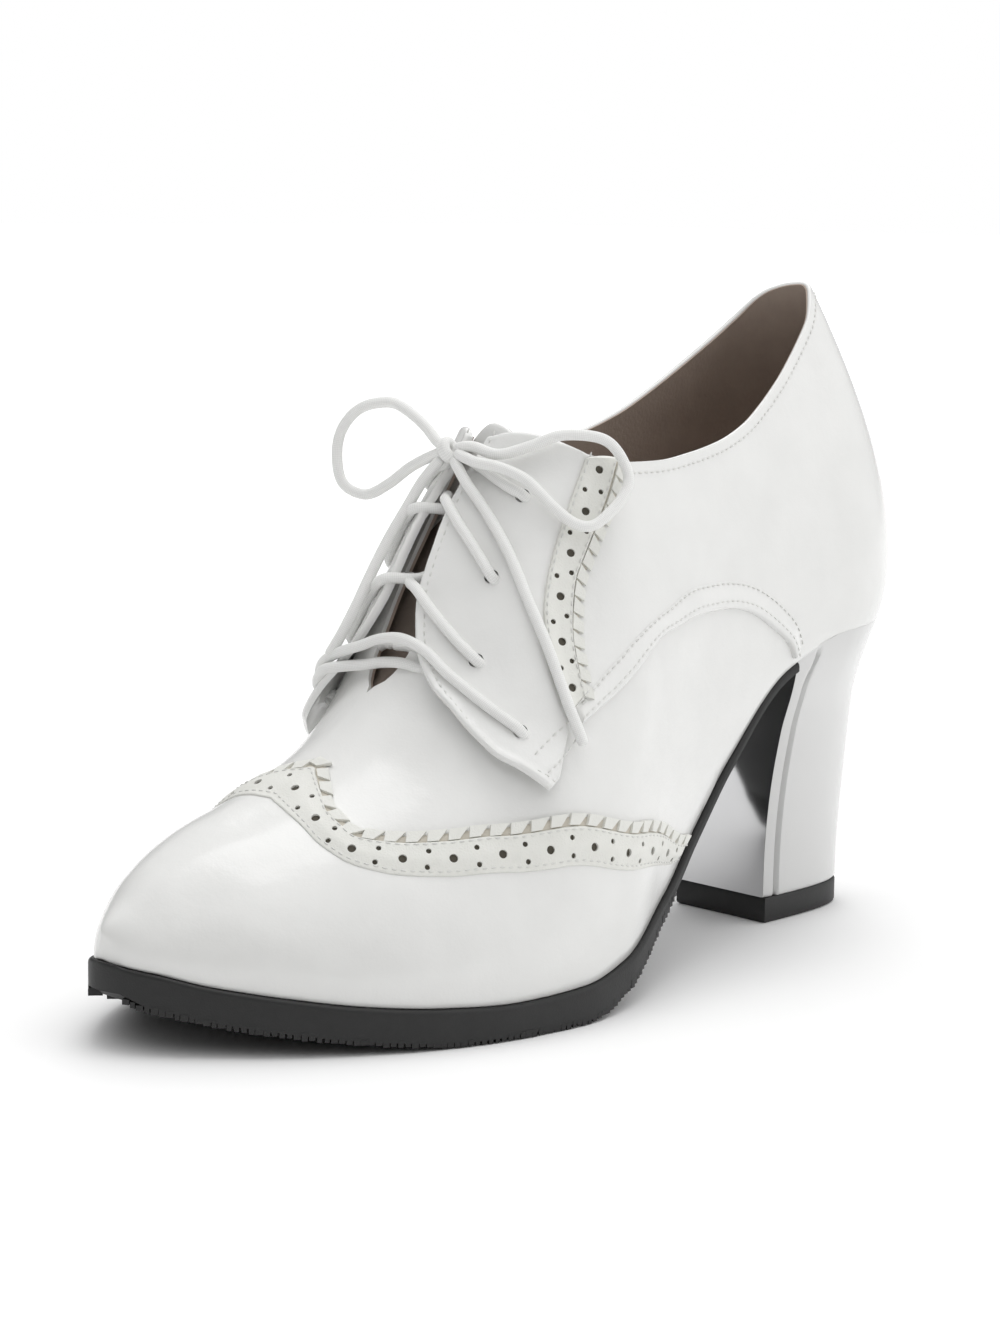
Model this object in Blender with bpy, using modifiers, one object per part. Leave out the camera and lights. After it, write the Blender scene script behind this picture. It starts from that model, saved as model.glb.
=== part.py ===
"""A laced ladies' shoe with a high block heel, left foot, standing on its sole.

Metres, +Z up. The toe points to -Y and the outer side of the foot is +X. The origin is the middle
of the heel's rest face, on the floor.
"""
import math

import bmesh
import bpy
from mathutils import Matrix, Vector

# Driving sizes of the last and of the shoe on it
LENGTH = 0.226           # back of the heel to the tip of the toe, on the floor plan
BALL_WIDTH = 0.082
HEEL_HEIGHT = 0.084      # floor to the seat of the heel
INSTEP_HEIGHT = 0.096
SOLE = 0.0078            # outsole at the ball
LIFT = 0.006             # hard rubber piece under the heel
LEDGE = 0.0012           # outsole beyond the upper
WALL = 0.0015            # leather with its lining
OVERLAY = 0.0011         # facing, brogue strip or band laid on the upper
GAP = 0.0003             # between pieces that meet
INSOLE = 0.002
TONGUE = 0.0015
LACE_DIAMETER = 0.0024
EYELET_HOLE = 0.0032
LIFT_BACK, LIFT_FRONT, LIFT_HALF_WIDTH = 0.0112, 0.0462, 0.0140
REST = (LIFT_BACK + LIFT_FRONT) / 2      # the origin, measured from the back of the shoe
HEEL_CENTRE = 0.14       # share of the length where the heel's round back starts

# One row for each section of the last. along: share of the length. lateral, medial and ridge: share
# of the ball width. feather: where upper meets sole, share of the heel height. crest: top of the
# section, share of the instep height. bulge, rise and the shoulders: shares of the section's own
# width and height. tread: thickness of the outsole, share of SOLE.
SECTION_COLUMNS = ("along", "lateral", "medial", "feather", "ridge", "crest", "bulge", "rise",
                   "lateral_shoulder", "medial_shoulder", "tread")
SECTIONS = (
    (0.00, 0.312, -0.308, 0.850, 0.000, 1.730, 0.41, 0.33, -0.20, 0.24, 0.28),
    (0.14, 0.312, -0.308, 0.835, 0.000, 1.730, 0.41, 0.33, -0.20, 0.24, 0.28),
    (0.24, 0.318, -0.300, 0.760, 0.000, 1.730, 0.38, 0.34, 0.00, 0.31, 0.28),
    (0.34, 0.338, -0.288, 0.545, 0.000, 1.720, 0.36, 0.40, 0.34, 0.42, 0.28),
    (0.40, 0.365, -0.292, 0.390, 0.000, 1.710, 0.33, 0.39, 0.46, 0.47, 0.33),
    (0.465, 0.415, -0.335, 0.240, 0.000, 1.630, 0.28, 0.36, 0.54, 0.52, 0.48),
    (0.56, 0.515, -0.410, 0.127, -0.010, 1.275, 0.19, 0.30, 0.57, 0.50, 0.86),
    (0.62, 0.541, -0.448, 0.099, -0.025, 1.025, 0.14, 0.33, 0.61, 0.50, 1.02),
    (0.70, 0.519, -0.477, 0.091, -0.045, 0.695, 0.13, 0.31, 0.64, 0.48, 1.00),
    (0.78, 0.452, -0.472, 0.102, -0.070, 0.545, 0.11, 0.33, 0.64, 0.46, 1.00),
    (0.84, 0.366, -0.445, 0.119, -0.085, 0.485, 0.09, 0.36, 0.62, 0.46, 1.00),
    (0.90, 0.250, -0.380, 0.147, -0.098, 0.435, 0.07, 0.40, 0.60, 0.46, 1.00),
    (0.95, 0.120, -0.287, 0.176, -0.104, 0.370, 0.05, 0.45, 0.58, 0.48, 1.00),
    (0.98, 0.030, -0.205, 0.203, -0.106, 0.305, 0.04, 0.50, 0.58, 0.52, 1.02),
    (1.00, -0.105, -0.107, 0.222, -0.106, 0.240, 0.03, 0.50, 0.60, 0.60, 1.04),
)
# The last's round back: how far each control point of a rib lies behind the heel's centre,
# as shares of the length behind it
BACK_DEPTHS = (0.853, 1.422, 0.047, 0.0)

# Edge of the collar seen from the side: share of the length, share of the instep height
TOPLINE_COLUMNS = ("along", "height")
TOPLINE = (
    (0.000, 1.584), (0.084, 1.581), (0.106, 1.557), (0.133, 1.474), (0.168, 1.417), (0.199, 1.370),
    (0.221, 1.344), (0.252, 1.297), (0.288, 1.255), (0.341, 1.219), (0.389, 1.201), (0.442, 1.190),
    (0.496, 1.193), (0.518, 1.208), (0.558, 1.240), (0.600, 1.300),
)
# The opening between the facings: how far up its rib, from 0 at the sole to 1 at the crest,
# the wall of the upper ends on each side
THROAT_COLUMNS = ("along", "lateral_end", "medial_end")
THROAT = (
    (0.560, 0.945, 0.890), (0.600, 0.945, 0.890), (0.640, 0.930, 0.885), (0.670, 0.935, 0.905),
    (0.690, 0.960, 0.945), (0.700, 1.000, 1.000),
)
# Pieces laid on the upper. Each row is a line across the piece, from one edge to the other.
PATCH_COLUMNS = ("from_along", "from_up", "to_along", "to_up")
FACING = (
    (0.569, 0.962, 0.529, 0.688), (0.598, 0.966, 0.547, 0.690), (0.629, 0.955, 0.575, 0.683),
    (0.649, 0.944, 0.595, 0.666), (0.663, 0.915, 0.609, 0.634), (0.677, 0.860, 0.616, 0.592),
    (0.684, 0.780, 0.6185, 0.558), (0.684, 0.700, 0.619, 0.530), (0.679, 0.600, 0.618, 0.495),
    (0.665, 0.510, 0.617, 0.466), (0.652, 0.440, 0.626, 0.440), (0.648, 0.424, 0.637, 0.420),
)
BROGUE_STRIP = (
    (0.525, 0.683, 0.484, 0.574), (0.543, 0.684, 0.505, 0.566), (0.570, 0.677, 0.529, 0.574),
    (0.590, 0.660, 0.552, 0.578), (0.604, 0.630, 0.565, 0.561), (0.611, 0.577, 0.577, 0.527),
    (0.614, 0.520, 0.580, 0.492), (0.609, 0.473, 0.583, 0.464),
)
COUNTER_STRIP = (
    (0.576, 0.453, 0.579, 0.428), (0.560, 0.450, 0.555, 0.411), (0.531, 0.426, 0.521, 0.382),
    (0.479, 0.373, 0.466, 0.339), (0.420, 0.332, 0.412, 0.292), (0.358, 0.279, 0.363, 0.247),
    (0.303, 0.216, 0.318, 0.193), (0.262, 0.145, 0.283, 0.132), (0.236, 0.085, 0.252, 0.066),
    (0.226, 0.045, 0.238, 0.020),
)
WING_BAND = (
    (0.440, 0.016, 0.417, 0.013), (0.479, 0.062, 0.460, 0.085), (0.536, 0.138, 0.521, 0.188),
    (0.600, 0.212, 0.597, 0.295), (0.653, 0.288, 0.650, 0.385), (0.710, 0.386, 0.705, 0.500),
    (0.755, 0.440, 0.738, 0.552), (0.800, 0.510, 0.775, 0.615), (0.825, 0.590, 0.800, 0.690),
    (0.834, 0.700, 0.800, 0.770), (0.834, 0.800, 0.787, 0.840), (0.831, 0.900, 0.770, 0.910),
    (0.829, 0.935, 0.763, 0.935),
)
EYELET_COLUMNS = ("along", "up")
EYELETS = ((0.653, 0.555), (0.655, 0.734), (0.621, 0.787), (0.578, 0.796))
# How far up the last (share of the length) each strand crosses the crest, and the lower bar
CROSSINGS = (0.671, 0.646, 0.604, 0.583)
LOWER_BAR = (0.689, 0.875)       # along, up: it passes between the front edges of the facings
# The bow, placed on the skin: how far along and up the rib, on which side, and how far out
LACE_COLUMNS = ("along", "up", "side", "out")
LOOP_LATERAL = (
    (0.578, 0.945, 1, 0.0062), (0.574, 0.880, 1, 0.0048), (0.557, 0.815, 1, 0.0042),
    (0.537, 0.754, 1, 0.0044), (0.514, 0.672, 1, 0.0046), (0.504, 0.624, 1, 0.0046),
    (0.501, 0.581, 1, 0.0044), (0.512, 0.579, 1, 0.0042), (0.527, 0.594, 1, 0.0040),
    (0.552, 0.640, 1, 0.0036), (0.567, 0.700, 1, 0.0040), (0.575, 0.765, 1, 0.0054),
    (0.582, 0.850, 1, 0.0060), (0.586, 0.912, 1, 0.0064),
)
END_LATERAL = (
    (0.594, 0.930, 1, 0.0052), (0.599, 0.870, 1, 0.0034), (0.603, 0.800, 1, 0.0030),
    (0.606, 0.745, 1, 0.0030), (0.610, 0.677, 1, 0.0030), (0.612, 0.589, 1, 0.0030),
    (0.613, 0.501, 1, 0.0030), (0.611, 0.445, 1, 0.0030), (0.610, 0.418, 1, 0.0030),
)
END_MEDIAL = (
    (0.597, 0.930, -1, 0.0062), (0.608, 0.900, -1, 0.0060), (0.624, 0.870, -1, 0.0062),
    (0.640, 0.855, -1, 0.0064), (0.655, 0.850, -1, 0.0066), (0.668, 0.830, -1, 0.0066),
    (0.677, 0.790, -1, 0.0064),
)
# The loop that stands free beside the shoe: x, y and z from the knot, in metres
LOOP_MEDIAL_COLUMNS = ("x", "y", "z")
LOOP_MEDIAL = (
    (-0.0030, -0.0006, 0.0016), (-0.0062, -0.0010, 0.0046), (-0.0110, -0.0022, 0.0080),
    (-0.0150, -0.0036, 0.0094), (-0.0205, -0.0066, 0.0080), (-0.0242, -0.0086, 0.0036),
    (-0.0252, -0.0094, -0.0020), (-0.0236, -0.0092, -0.0084), (-0.0190, -0.0066, -0.0108),
    (-0.0140, -0.0044, -0.0082), (-0.0098, -0.0024, -0.0046), (-0.0050, -0.0012, -0.0020),
)
KNOT_SIZE = (0.0066, 0.0046, 0.0058)
KNOT = (0.583, 1.0, 1, 0.0070)


def column(rows, columns, name, where):
    """Smooth value of a table's named column, without overshoot between its rows."""
    key = columns.index(name)
    xs = [row[0] for row in rows]
    ys = [row[key] for row in rows]
    count = len(xs)
    steps = [xs[i + 1] - xs[i] for i in range(count - 1)]
    slopes = [(ys[i + 1] - ys[i]) / steps[i] for i in range(count - 1)]
    tangents = [slopes[0]] + [0.0] * (count - 2) + [slopes[-1]]
    for i in range(1, count - 1):
        if slopes[i - 1] * slopes[i] > 0:
            near = 2 * steps[i] + steps[i - 1]
            far = steps[i] + 2 * steps[i - 1]
            tangents[i] = (near + far) / (near / slopes[i - 1] + far / slopes[i])
    i = max(0, min(count - 2, sum(1 for x in xs[1:-1] if x <= where)))
    t = (where - xs[i]) / steps[i]
    return ((1 + 2 * t) * (1 - t) ** 2 * ys[i] + t * (1 - t) ** 2 * steps[i] * tangents[i]
            + t * t * (3 - 2 * t) * ys[i + 1] + t * t * (t - 1) * steps[i] * tangents[i + 1])


# The sections are spaced by the root of the distance from the toe, which rounds the toe
BY_TOE_ROOT = tuple((math.sqrt(1 - row[0]),) + row[1:] for row in reversed(SECTIONS))


def section(name, along):
    return column(BY_TOE_ROOT, SECTION_COLUMNS, name, math.sqrt(max(0.0, 1 - along)))


def section_points(along, side):
    """The four control points of a rib as (x, z), from the sole's edge to the crest."""
    ridge = section("ridge", along) * BALL_WIDTH
    edge = section("lateral" if side > 0 else "medial", along) * BALL_WIDTH
    low = section("feather", along) * HEEL_HEIGHT
    high = section("crest", along) * INSTEP_HEIGHT
    shoulder = section("lateral_shoulder" if side > 0 else "medial_shoulder", along)
    bulge = side * section("bulge", along) * abs(edge - ridge)
    rise = section("rise", along) * (high - low)
    return ((edge, low), (edge + bulge, low + rise), (ridge + (edge - ridge) * shoulder, high),
            (ridge, high))


def rib(along, side, turn=0.0):
    """Control points of a rib. turn goes from 0 beside the heel's centre to 1 at its back."""
    if turn <= 0.0:
        return [Vector((x, REST - along * LENGTH, z)) for x, z in section_points(along, side)]
    points = section_points(HEEL_CENTRE, side)
    across, behind = math.cos(turn * math.pi / 2), math.sin(turn * math.pi / 2)
    centre = HEEL_CENTRE * LENGTH
    back = [centre - depth * centre * behind for depth in BACK_DEPTHS]
    lift = section("feather", back[0] / LENGTH) * HEEL_HEIGHT - points[0][1]
    lifts = (lift, lift, 0.0, 0.0)
    return [Vector((x * across, REST - s, z + dz))
            for (x, z), s, dz in zip(points, back, lifts)]


def on_rib(points, up):
    down = 1 - up
    return (points[0] * down ** 3 + points[1] * (3 * up * down ** 2)
            + points[2] * (3 * up * up * down) + points[3] * up ** 3)


def skin(along, up, side, out=0.0, turn=0.0):
    """A point of the shoe's outer surface, moved outwards along its normal by out."""
    point = on_rib(rib(along, side, turn), up)
    if out == 0.0:
        return point
    step = 0.002
    low, high = max(0.0, up - step), min(1.0, up + step)
    upwards = on_rib(rib(along, side, turn), high) - on_rib(rib(along, side, turn), low)
    if turn > 0.0:
        ahead = on_rib(rib(along, side, turn - step), up)
        behind = on_rib(rib(along, side, min(1.0, turn + step)), up)
    else:
        ahead = on_rib(rib(min(0.9999, along + step), side), up)
        behind = on_rib(rib(along - step, side), up)
    normal = upwards.cross(ahead - behind) * side
    return point + normal.normalized() * out


def collar_end(along, side, turn=0.0):
    """How far up its rib the wall of the upper reaches: collar, throat or closed crest."""
    points = rib(along, side, turn)
    end = 1.0
    if turn > 0.0 or along < TOPLINE[-1][0]:
        low, high = 0.0, 1.0
        for _ in range(24):
            middle = (low + high) / 2
            point = on_rib(points, middle)
            share = (REST - point.y) / LENGTH
            top = column(TOPLINE, TOPLINE_COLUMNS, "height", max(0.0, share)) * INSTEP_HEIGHT
            low, high = (middle, high) if point.z < top else (low, middle)
        end = low
    if turn <= 0.0 and THROAT[0][0] <= along < THROAT[-1][0]:
        name = "lateral_end" if side > 0 else "medial_end"
        end = min(end, column(THROAT, THROAT_COLUMNS, name, along))
    return end


def material(name, colour, roughness, metallic=0.0):
    made = bpy.data.materials.new(name)
    made.use_nodes = True
    shader = made.node_tree.nodes["Principled BSDF"]
    shader.inputs["Base Color"].default_value = (*colour, 1.0)
    shader.inputs["Roughness"].default_value = roughness
    shader.inputs["Metallic"].default_value = metallic
    return made


def group(name):
    """The collection of that name, made when it is first asked for."""
    made = bpy.data.collections.get(name)
    if made is None:
        made = bpy.data.collections.new(name)
        bpy.context.scene.collection.children.link(made)
    return made


def put(name, data, look):
    """The node's object from its mesh or curve."""
    data.materials.append(look)
    made = bpy.data.objects.new(name, data)
    group("laced_heeled_shoe").objects.link(made)
    return made


def to_mesh(name, mesh, sharp_from=40.0):
    """The finished mesh of a bmesh, shaded smooth but for its real edges."""
    data = bpy.data.meshes.new(name)
    mesh.to_mesh(data)
    mesh.free()
    data.shade_smooth()
    data.set_sharp_from_angle(angle=math.radians(sharp_from))
    return data


def finish(name, mesh, look):
    """Makes the node's object from a closed bmesh, with outward normals."""
    bmesh.ops.recalc_face_normals(mesh, faces=mesh.faces)
    return put(name, to_mesh(name, mesh), look)


def loft(mesh, rows, closed=False):
    """Faces between rows of points. Points that coincide are joined by the caller."""
    made = [[mesh.verts.new(point) for point in row] for row in rows]
    for first, second in zip(made, made[1:]):
        pairs = list(zip(first, second))
        if closed:
            pairs.append(pairs[0])
        for (a, b), (c, d) in zip(pairs, pairs[1:]):
            mesh.faces.new((a, b, d, c))
    return made


def cap(mesh, ring):
    mesh.faces.new(ring)


def thicken(made, thickness, outwards):
    """Gives a sheet its thickness, on the side away from or towards the foot."""
    modifier = made.modifiers.new("wall", "SOLIDIFY")
    modifier.thickness = thickness
    modifier.offset = 1.0 if outwards else -1.0
    modifier.use_even_offset = True
    modifier.use_rim = True
    return made


def orient_outwards(mesh, centre):
    """Turns an open sheet so that its normals point away from the foot."""
    bmesh.ops.recalc_face_normals(mesh, faces=mesh.faces)
    score = sum((face.calc_center_median() - centre).dot(face.normal) * face.calc_area()
                for face in mesh.faces)
    if score < 0:
        bmesh.ops.reverse_faces(mesh, faces=mesh.faces)


def sheet(name, mesh, look, thickness, outwards, join=0.00002):
    """An open bmesh as a sheet of the given thickness."""
    bmesh.ops.remove_doubles(mesh, verts=mesh.verts, dist=join)
    loose = [face for face in mesh.faces if face.calc_area() < 1e-12]
    bmesh.ops.delete(mesh, geom=loose, context="FACES")
    foot = Vector((0.0, REST - 0.5 * LENGTH, 0.35 * HEEL_HEIGHT))
    orient_outwards(mesh, foot)
    return thicken(put(name, to_mesh(name, mesh), look), thickness, outwards)


def spread(start, end, count):
    return [start + (end - start) * i / (count - 1) for i in range(count)]


UP_THE_WALL = (0.0, 0.12, 0.24, 0.36, 0.47, 0.56, 0.64, 0.71, 0.77, 0.83, 0.89, 0.95, 1.0)


def way_round(heel_ribs):
    """Ribs from the toe along the lateral side, round the heel and back along the medial side.

    They lie closer at the throat, where the instep meets the vamp.
    """
    toe = [1 - root * root for root in spread(0.0, 0.40, 8)]
    throat_end = THROAT[-1][0]
    sides = (toe[:-1] + spread(toe[-1], throat_end, 9)[:-1] + spread(throat_end, 0.54, 10)[:-1]
             + spread(0.54, HEEL_CENTRE, 11))
    turns = spread(0.0, 1.0, heel_ribs)[1:]
    lateral = [(along, 1, 0.0) for along in sides] + [(HEEL_CENTRE, 1, turn) for turn in turns]
    medial = [(HEEL_CENTRE, -1, turn) for turn in reversed(turns[:-1])]
    return lateral + medial + [(along, -1, 0.0) for along in reversed(sides)]


def upper(look):
    mesh = bmesh.new()
    rows = []
    for along, side, turn in way_round(7):
        end = collar_end(along, side, turn)
        rows.append([skin(along, up * end, side, 0.0, turn) for up in UP_THE_WALL])
    loft(mesh, rows)
    return sheet("upper", mesh, look, WALL, outwards=False)


def outline(out, start, count):
    """Plan outline of the last's edge: (along, lateral x, medial x), toe last, moved outwards."""
    rows = []
    for root in reversed(spread(0.0, math.sqrt(1 - start), count)):
        along = 1 - root * root
        ahead = max(0.0, root - 0.004)
        behind = root + 0.004
        row = [along]
        for side, name in ((1, "lateral"), (-1, "medial")):
            edge = section(name, along) * BALL_WIDTH
            slope_x = (section(name, 1 - ahead ** 2) - section(name, 1 - behind ** 2)) * BALL_WIDTH
            slope_y = (behind ** 2 - ahead ** 2) * LENGTH
            size = math.hypot(slope_x, slope_y)
            row.append((edge + side * out * slope_y / size, along * LENGTH - side * out * slope_x / size))
        rows.append(row)
    return rows


def slab(name, look, rows, across, top, bottom):
    """A plate under the foot between its edges. top and bottom give its heights at a share of
    the length."""
    mesh = bmesh.new()
    tops, bottoms = [], []
    for _, (lateral_x, lateral_s), (medial_x, medial_s) in rows:
        top_row, bottom_row = [], []
        for share in spread(0.0, 1.0, across):
            x = lateral_x + (medial_x - lateral_x) * share
            s = lateral_s + (medial_s - lateral_s) * share
            here = min(1.0, s / LENGTH)
            top_row.append(Vector((x, REST - s, top(here))))
            bottom_row.append(Vector((x, REST - s, bottom(here))))
        tops.append(top_row)
        bottoms.append(bottom_row)
    shell = [top + list(reversed(bottom)) for top, bottom in zip(tops, bottoms)]
    rings = loft(mesh, shell, closed=True)
    for ring in (rings[0], rings[-1]):
        for i in range(across - 1):
            mesh.faces.new((ring[i], ring[i + 1], ring[2 * across - 2 - i], ring[2 * across - 1 - i]))
    bmesh.ops.remove_doubles(mesh, verts=mesh.verts, dist=0.00002)
    return finish(name, mesh, look)


def feather(along):
    return section("feather", along) * HEEL_HEIGHT


def tread(along):
    """Underside of the outsole, flat on the floor under the ball."""
    height = feather(along) - GAP - section("tread", along) * SOLE
    return height if height > 0.0002 else 0.0


BREAST = 0.2245          # share of the length where the outsole ends against the heel


def outsole(look):
    rows = outline(LEDGE, BREAST, 38)
    return slab("outsole", look, rows, 4, lambda along: feather(along) - GAP, tread)


def insole(look):
    """Inner sole from the toe to the back of the heel, clear of the wall round it."""
    inside = WALL + 3 * GAP
    rows = [(HEEL_CENTRE * (1 - turn),) + tuple(
        (point.x, REST - point.y) for point in (skin(HEEL_CENTRE, 0.0, side, -inside, turn)
                                                for side in (1, -1)))
            for turn in (0.97, 0.9, 0.75, 0.6, 0.4, 0.2)]
    rows += [row for row in outline(-inside, HEEL_CENTRE, 36) if row[1][0] - row[2][0] > 0.006]
    return slab("insole", look, rows, 4, lambda along: feather(along) + GAP,
                lambda along: feather(along) + INSOLE)


# Rings of the heel from its seat to the lift. down: share of the way. narrow, back and front: how
# far the sides, the back and the breast have come from the seat's size to the lift's. square: how
# square the round back is.
HEEL_COLUMNS = ("down", "narrow", "back", "front", "square")
HEEL_RINGS = (
    (0.00, 0.000, 0.00, 0.00, 2.0), (0.14, 0.172, 0.33, 0.07, 2.1), (0.32, 0.422, 0.73, 0.19, 2.3),
    (0.50, 0.638, 0.92, 0.33, 2.6), (0.70, 0.828, 0.99, 0.57, 2.9), (0.86, 0.940, 1.00, 0.81, 3.2),
    (1.00, 1.000, 1.00, 1.00, 3.4),
)
HEEL_BLEND = 0.3         # share of its height in which the heel leaves the outline of the upper


def evenly(points, count):
    """The same line with its points evenly spaced."""
    lengths = [0.0]
    for (x, s), (next_x, next_s) in zip(points, points[1:]):
        lengths.append(lengths[-1] + math.hypot(next_x - x, next_s - s))
    line, i = [], 0
    for place in spread(0.0, lengths[-1], count):
        while i < len(points) - 2 and lengths[i + 1] < place:
            i += 1
        share = (place - lengths[i]) / (lengths[i + 1] - lengths[i])
        line.append(tuple(a + (b - a) * share for a, b in zip(points[i], points[i + 1])))
    return line


def heel_ring(half_width, back, front, square, count):
    """D-shaped outline as (x, s): a straight front and a round or squarish back."""
    ring = []
    for turn in spread(0.0, math.pi, 181):
        across = math.copysign(abs(math.cos(turn)) ** (2 / square), math.cos(turn))
        behind = abs(math.sin(turn)) ** (2 / square)
        ring.append((half_width * across, front + (back - front) * behind))
    return evenly(ring, count)


def seat_ring(front, count):
    """The edge of the upper round the heel, from the breast on one side to the other."""
    half = [[], []]
    for line, side in zip(half, (1, -1)):
        for along in spread(front / LENGTH, HEEL_CENTRE, 12)[:-1]:
            line.append(skin(along, 0.0, side))
        for turn in spread(0.0, 1.0, 31):
            line.append(skin(HEEL_CENTRE, 0.0, side, 0.0, turn))
    line = half[0] + list(reversed(half[1]))[1:]
    return evenly([(point.x, REST - point.y) for point in line], count)


def heel(look):
    mesh = bmesh.new()
    count = 27
    rings = []
    breast = BREAST * LENGTH - GAP
    sizes = ((section("lateral", HEEL_CENTRE) * BALL_WIDTH, LIFT_HALF_WIDTH),
             (HEEL_CENTRE * LENGTH * (1 - BACK_DEPTHS[0]), LIFT_BACK), (breast, LIFT_FRONT))
    for down in spread(0.0, 1.0, 12):
        shares = [column(HEEL_RINGS, HEEL_COLUMNS, name, down) for name in HEEL_COLUMNS[1:]]
        values = [seat + (lift - seat) * share for (seat, lift), share in zip(sizes, shares)]
        blend = max(0.0, 1 - down / HEEL_BLEND) ** 2
        ring = []
        for (x, s), (seat_x, seat_s) in zip(heel_ring(*values, shares[-1], count),
                                            seat_ring(breast, count)):
            x += (seat_x - x) * blend
            s += (seat_s - s) * blend
            seat = feather(s / LENGTH) - GAP
            z = seat + (LIFT + GAP - seat) * down
            ring.append(Vector((x, REST - s, z)))
        for share in spread(0.0, 1.0, 4)[1:-1]:
            ring.append(ring[count - 1].lerp(ring[0], share))
        rings.append(ring)
    made = loft(mesh, rings, closed=True)
    for ring in (made[0], made[-1]):
        cap(mesh, ring)
    seat_faces = [face for face in mesh.faces if len(face.verts) > 4]
    bmesh.ops.triangulate(mesh, faces=seat_faces)
    return finish("heel", mesh, look)


def heel_lift(look):
    mesh = bmesh.new()
    ring = heel_ring(LIFT_HALF_WIDTH, LIFT_BACK, LIFT_FRONT, 3.4, 25)
    rows = [[Vector((x, REST - s, z)) for x, s in ring] for z in (0.0, LIFT)]
    made = loft(mesh, rows, closed=True)
    for row in made:
        cap(mesh, row)
    return finish("heel_lift", mesh, look)


def patch_point(rows, down, across):
    """A point of a laid-on piece as (along, up), smooth along its rows."""
    where = down * (len(rows) - 1)
    numbered = tuple((float(i),) + row for i, row in enumerate(rows))
    names = ("row",) + PATCH_COLUMNS
    start = [column(numbered, names, name, where) for name in PATCH_COLUMNS[:2]]
    end = [column(numbered, names, name, where) for name in PATCH_COLUMNS[2:]]
    return tuple(a + (b - a) * across for a, b in zip(start, end))


def punch(made, side):
    """Cuts the eyelet holes through a facing, square to the leather."""
    mesh = bmesh.new()
    for along, up in EYELETS:
        middle = skin(along, up, side, GAP + OVERLAY / 2)
        outwards = (skin(along, up, side, 0.01) - middle).normalized()
        turn = outwards.to_track_quat("Z", "Y").to_matrix().to_4x4()
        bmesh.ops.create_cone(mesh, cap_ends=True, segments=10, radius1=EYELET_HOLE / 2,
                              radius2=EYELET_HOLE / 2, depth=4 * OVERLAY,
                              matrix=Matrix.Translation(middle) @ turn)
    name = made.name + "_eyelet_cutter"
    cutter = bpy.data.objects.new(name, to_mesh(name, mesh))
    group("cutters").objects.link(cutter)
    cutter.hide_render = True
    cutter.display_type = "WIRE"
    cut = made.modifiers.new("eyelets", "BOOLEAN")
    cut.operation = "DIFFERENCE"
    cut.solver = "EXACT"
    cut.object = cutter


def laid_on(name, look, rows, side, counts, out=GAP, thickness=OVERLAY):
    """A piece of leather laid on the upper, from its table."""
    mesh = bmesh.new()
    lines = []
    for down in spread(0.0, 1.0, counts[0]):
        lines.append([skin(*patch_point(rows, down, across), side, out)
                      for across in spread(0.0, 1.0, counts[1])])
    loft(mesh, lines)
    return sheet(name, mesh, look, thickness, outwards=True)


WING_PEAK = WING_BAND[-1][1]     # the band is symmetrical about this line, just beside the crest


def wing_rows():
    """Rows of the band from the lateral edge of the sole over the crest to the medial one.

    Places above 1 lie on the medial side, counted down from the crest. The sideways shift
    of the peak fades out before the facing's tip.
    """
    mirrored = []
    for row in reversed(WING_BAND[:-1]):
        row = list(row)
        for i in (1, 3):
            share = min(1.0, max(0.0, (row[i] - 0.42) / 0.5))
            row[i] = 2 - row[i] - 2 * (1 - WING_PEAK) * share * share * (3 - 2 * share)
        mirrored.append(tuple(row))
    return WING_BAND + tuple(mirrored)


def wing_band(look):
    """The band round the toe, in one piece over both sides."""
    mesh = bmesh.new()
    rows = wing_rows()
    lines = []
    for down in spread(0.0, 1.0, 55):
        line = []
        for across in spread(0.0, 1.0, 4):
            along, over = patch_point(rows, down, across)
            side = 1 if over <= 1 else -1
            line.append(skin(along, min(over, 2 - over), side, GAP))
        lines.append(line)
    loft(mesh, lines)
    return sheet("wing_band", mesh, look, OVERLAY, outwards=True)


TONGUE_TOP, TONGUE_ROOT = 0.558, 0.722
TONGUE_HALF_TOP, TONGUE_HALF_ROOT = 0.225, 0.16   # share of the rib that the tongue spans


def tongue(look):
    mesh = bmesh.new()
    rows = []
    for share in spread(0.0, 1.0, 18):
        half = TONGUE_HALF_TOP + (TONGUE_HALF_ROOT - TONGUE_HALF_TOP) * share
        row = []
        for across in spread(-1.0, 1.0, 9):
            side = 1 if across >= 0 else -1
            rounding = 0.016 * (abs(across) ** 2.5) * max(0.0, 1 - 3 * share)
            along = TONGUE_TOP + (TONGUE_ROOT - TONGUE_TOP) * share + rounding
            row.append(skin(along, 1 - abs(across) * half, side, -WALL - GAP))
        rows.append(row)
    loft(mesh, rows)
    return sheet("tongue", mesh, look, TONGUE, outwards=False)


def smooth_path(points, between):
    """Points of a soft curve through the given points."""
    path = []
    for i in range(len(points) - 1):
        before = points[max(0, i - 1)]
        start, end = points[i], points[i + 1]
        after = points[min(len(points) - 1, i + 2)]
        for step in range(between):
            t = step / between
            path.append(0.5 * (2 * start + (end - before) * t
                               + (2 * before - 5 * start + 4 * end - after) * t * t
                               + (3 * start - before - 3 * end + after) * t ** 3))
    path.append(points[-1])
    return path


def tube(name, look, points, diameter, between=3):
    """A stretch of lace as a curve with filled ends."""
    path = smooth_path([Vector(point) for point in points], between)
    curve = bpy.data.curves.new(name, "CURVE")
    curve.dimensions = "3D"
    curve.bevel_depth = diameter / 2
    curve.bevel_resolution = 2
    curve.use_fill_caps = True
    line = curve.splines.new("POLY")
    line.points.add(len(path) - 1)
    for point, where in zip(line.points, path):
        point.co = (*where, 1.0)
    return put(name, curve, look)


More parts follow.
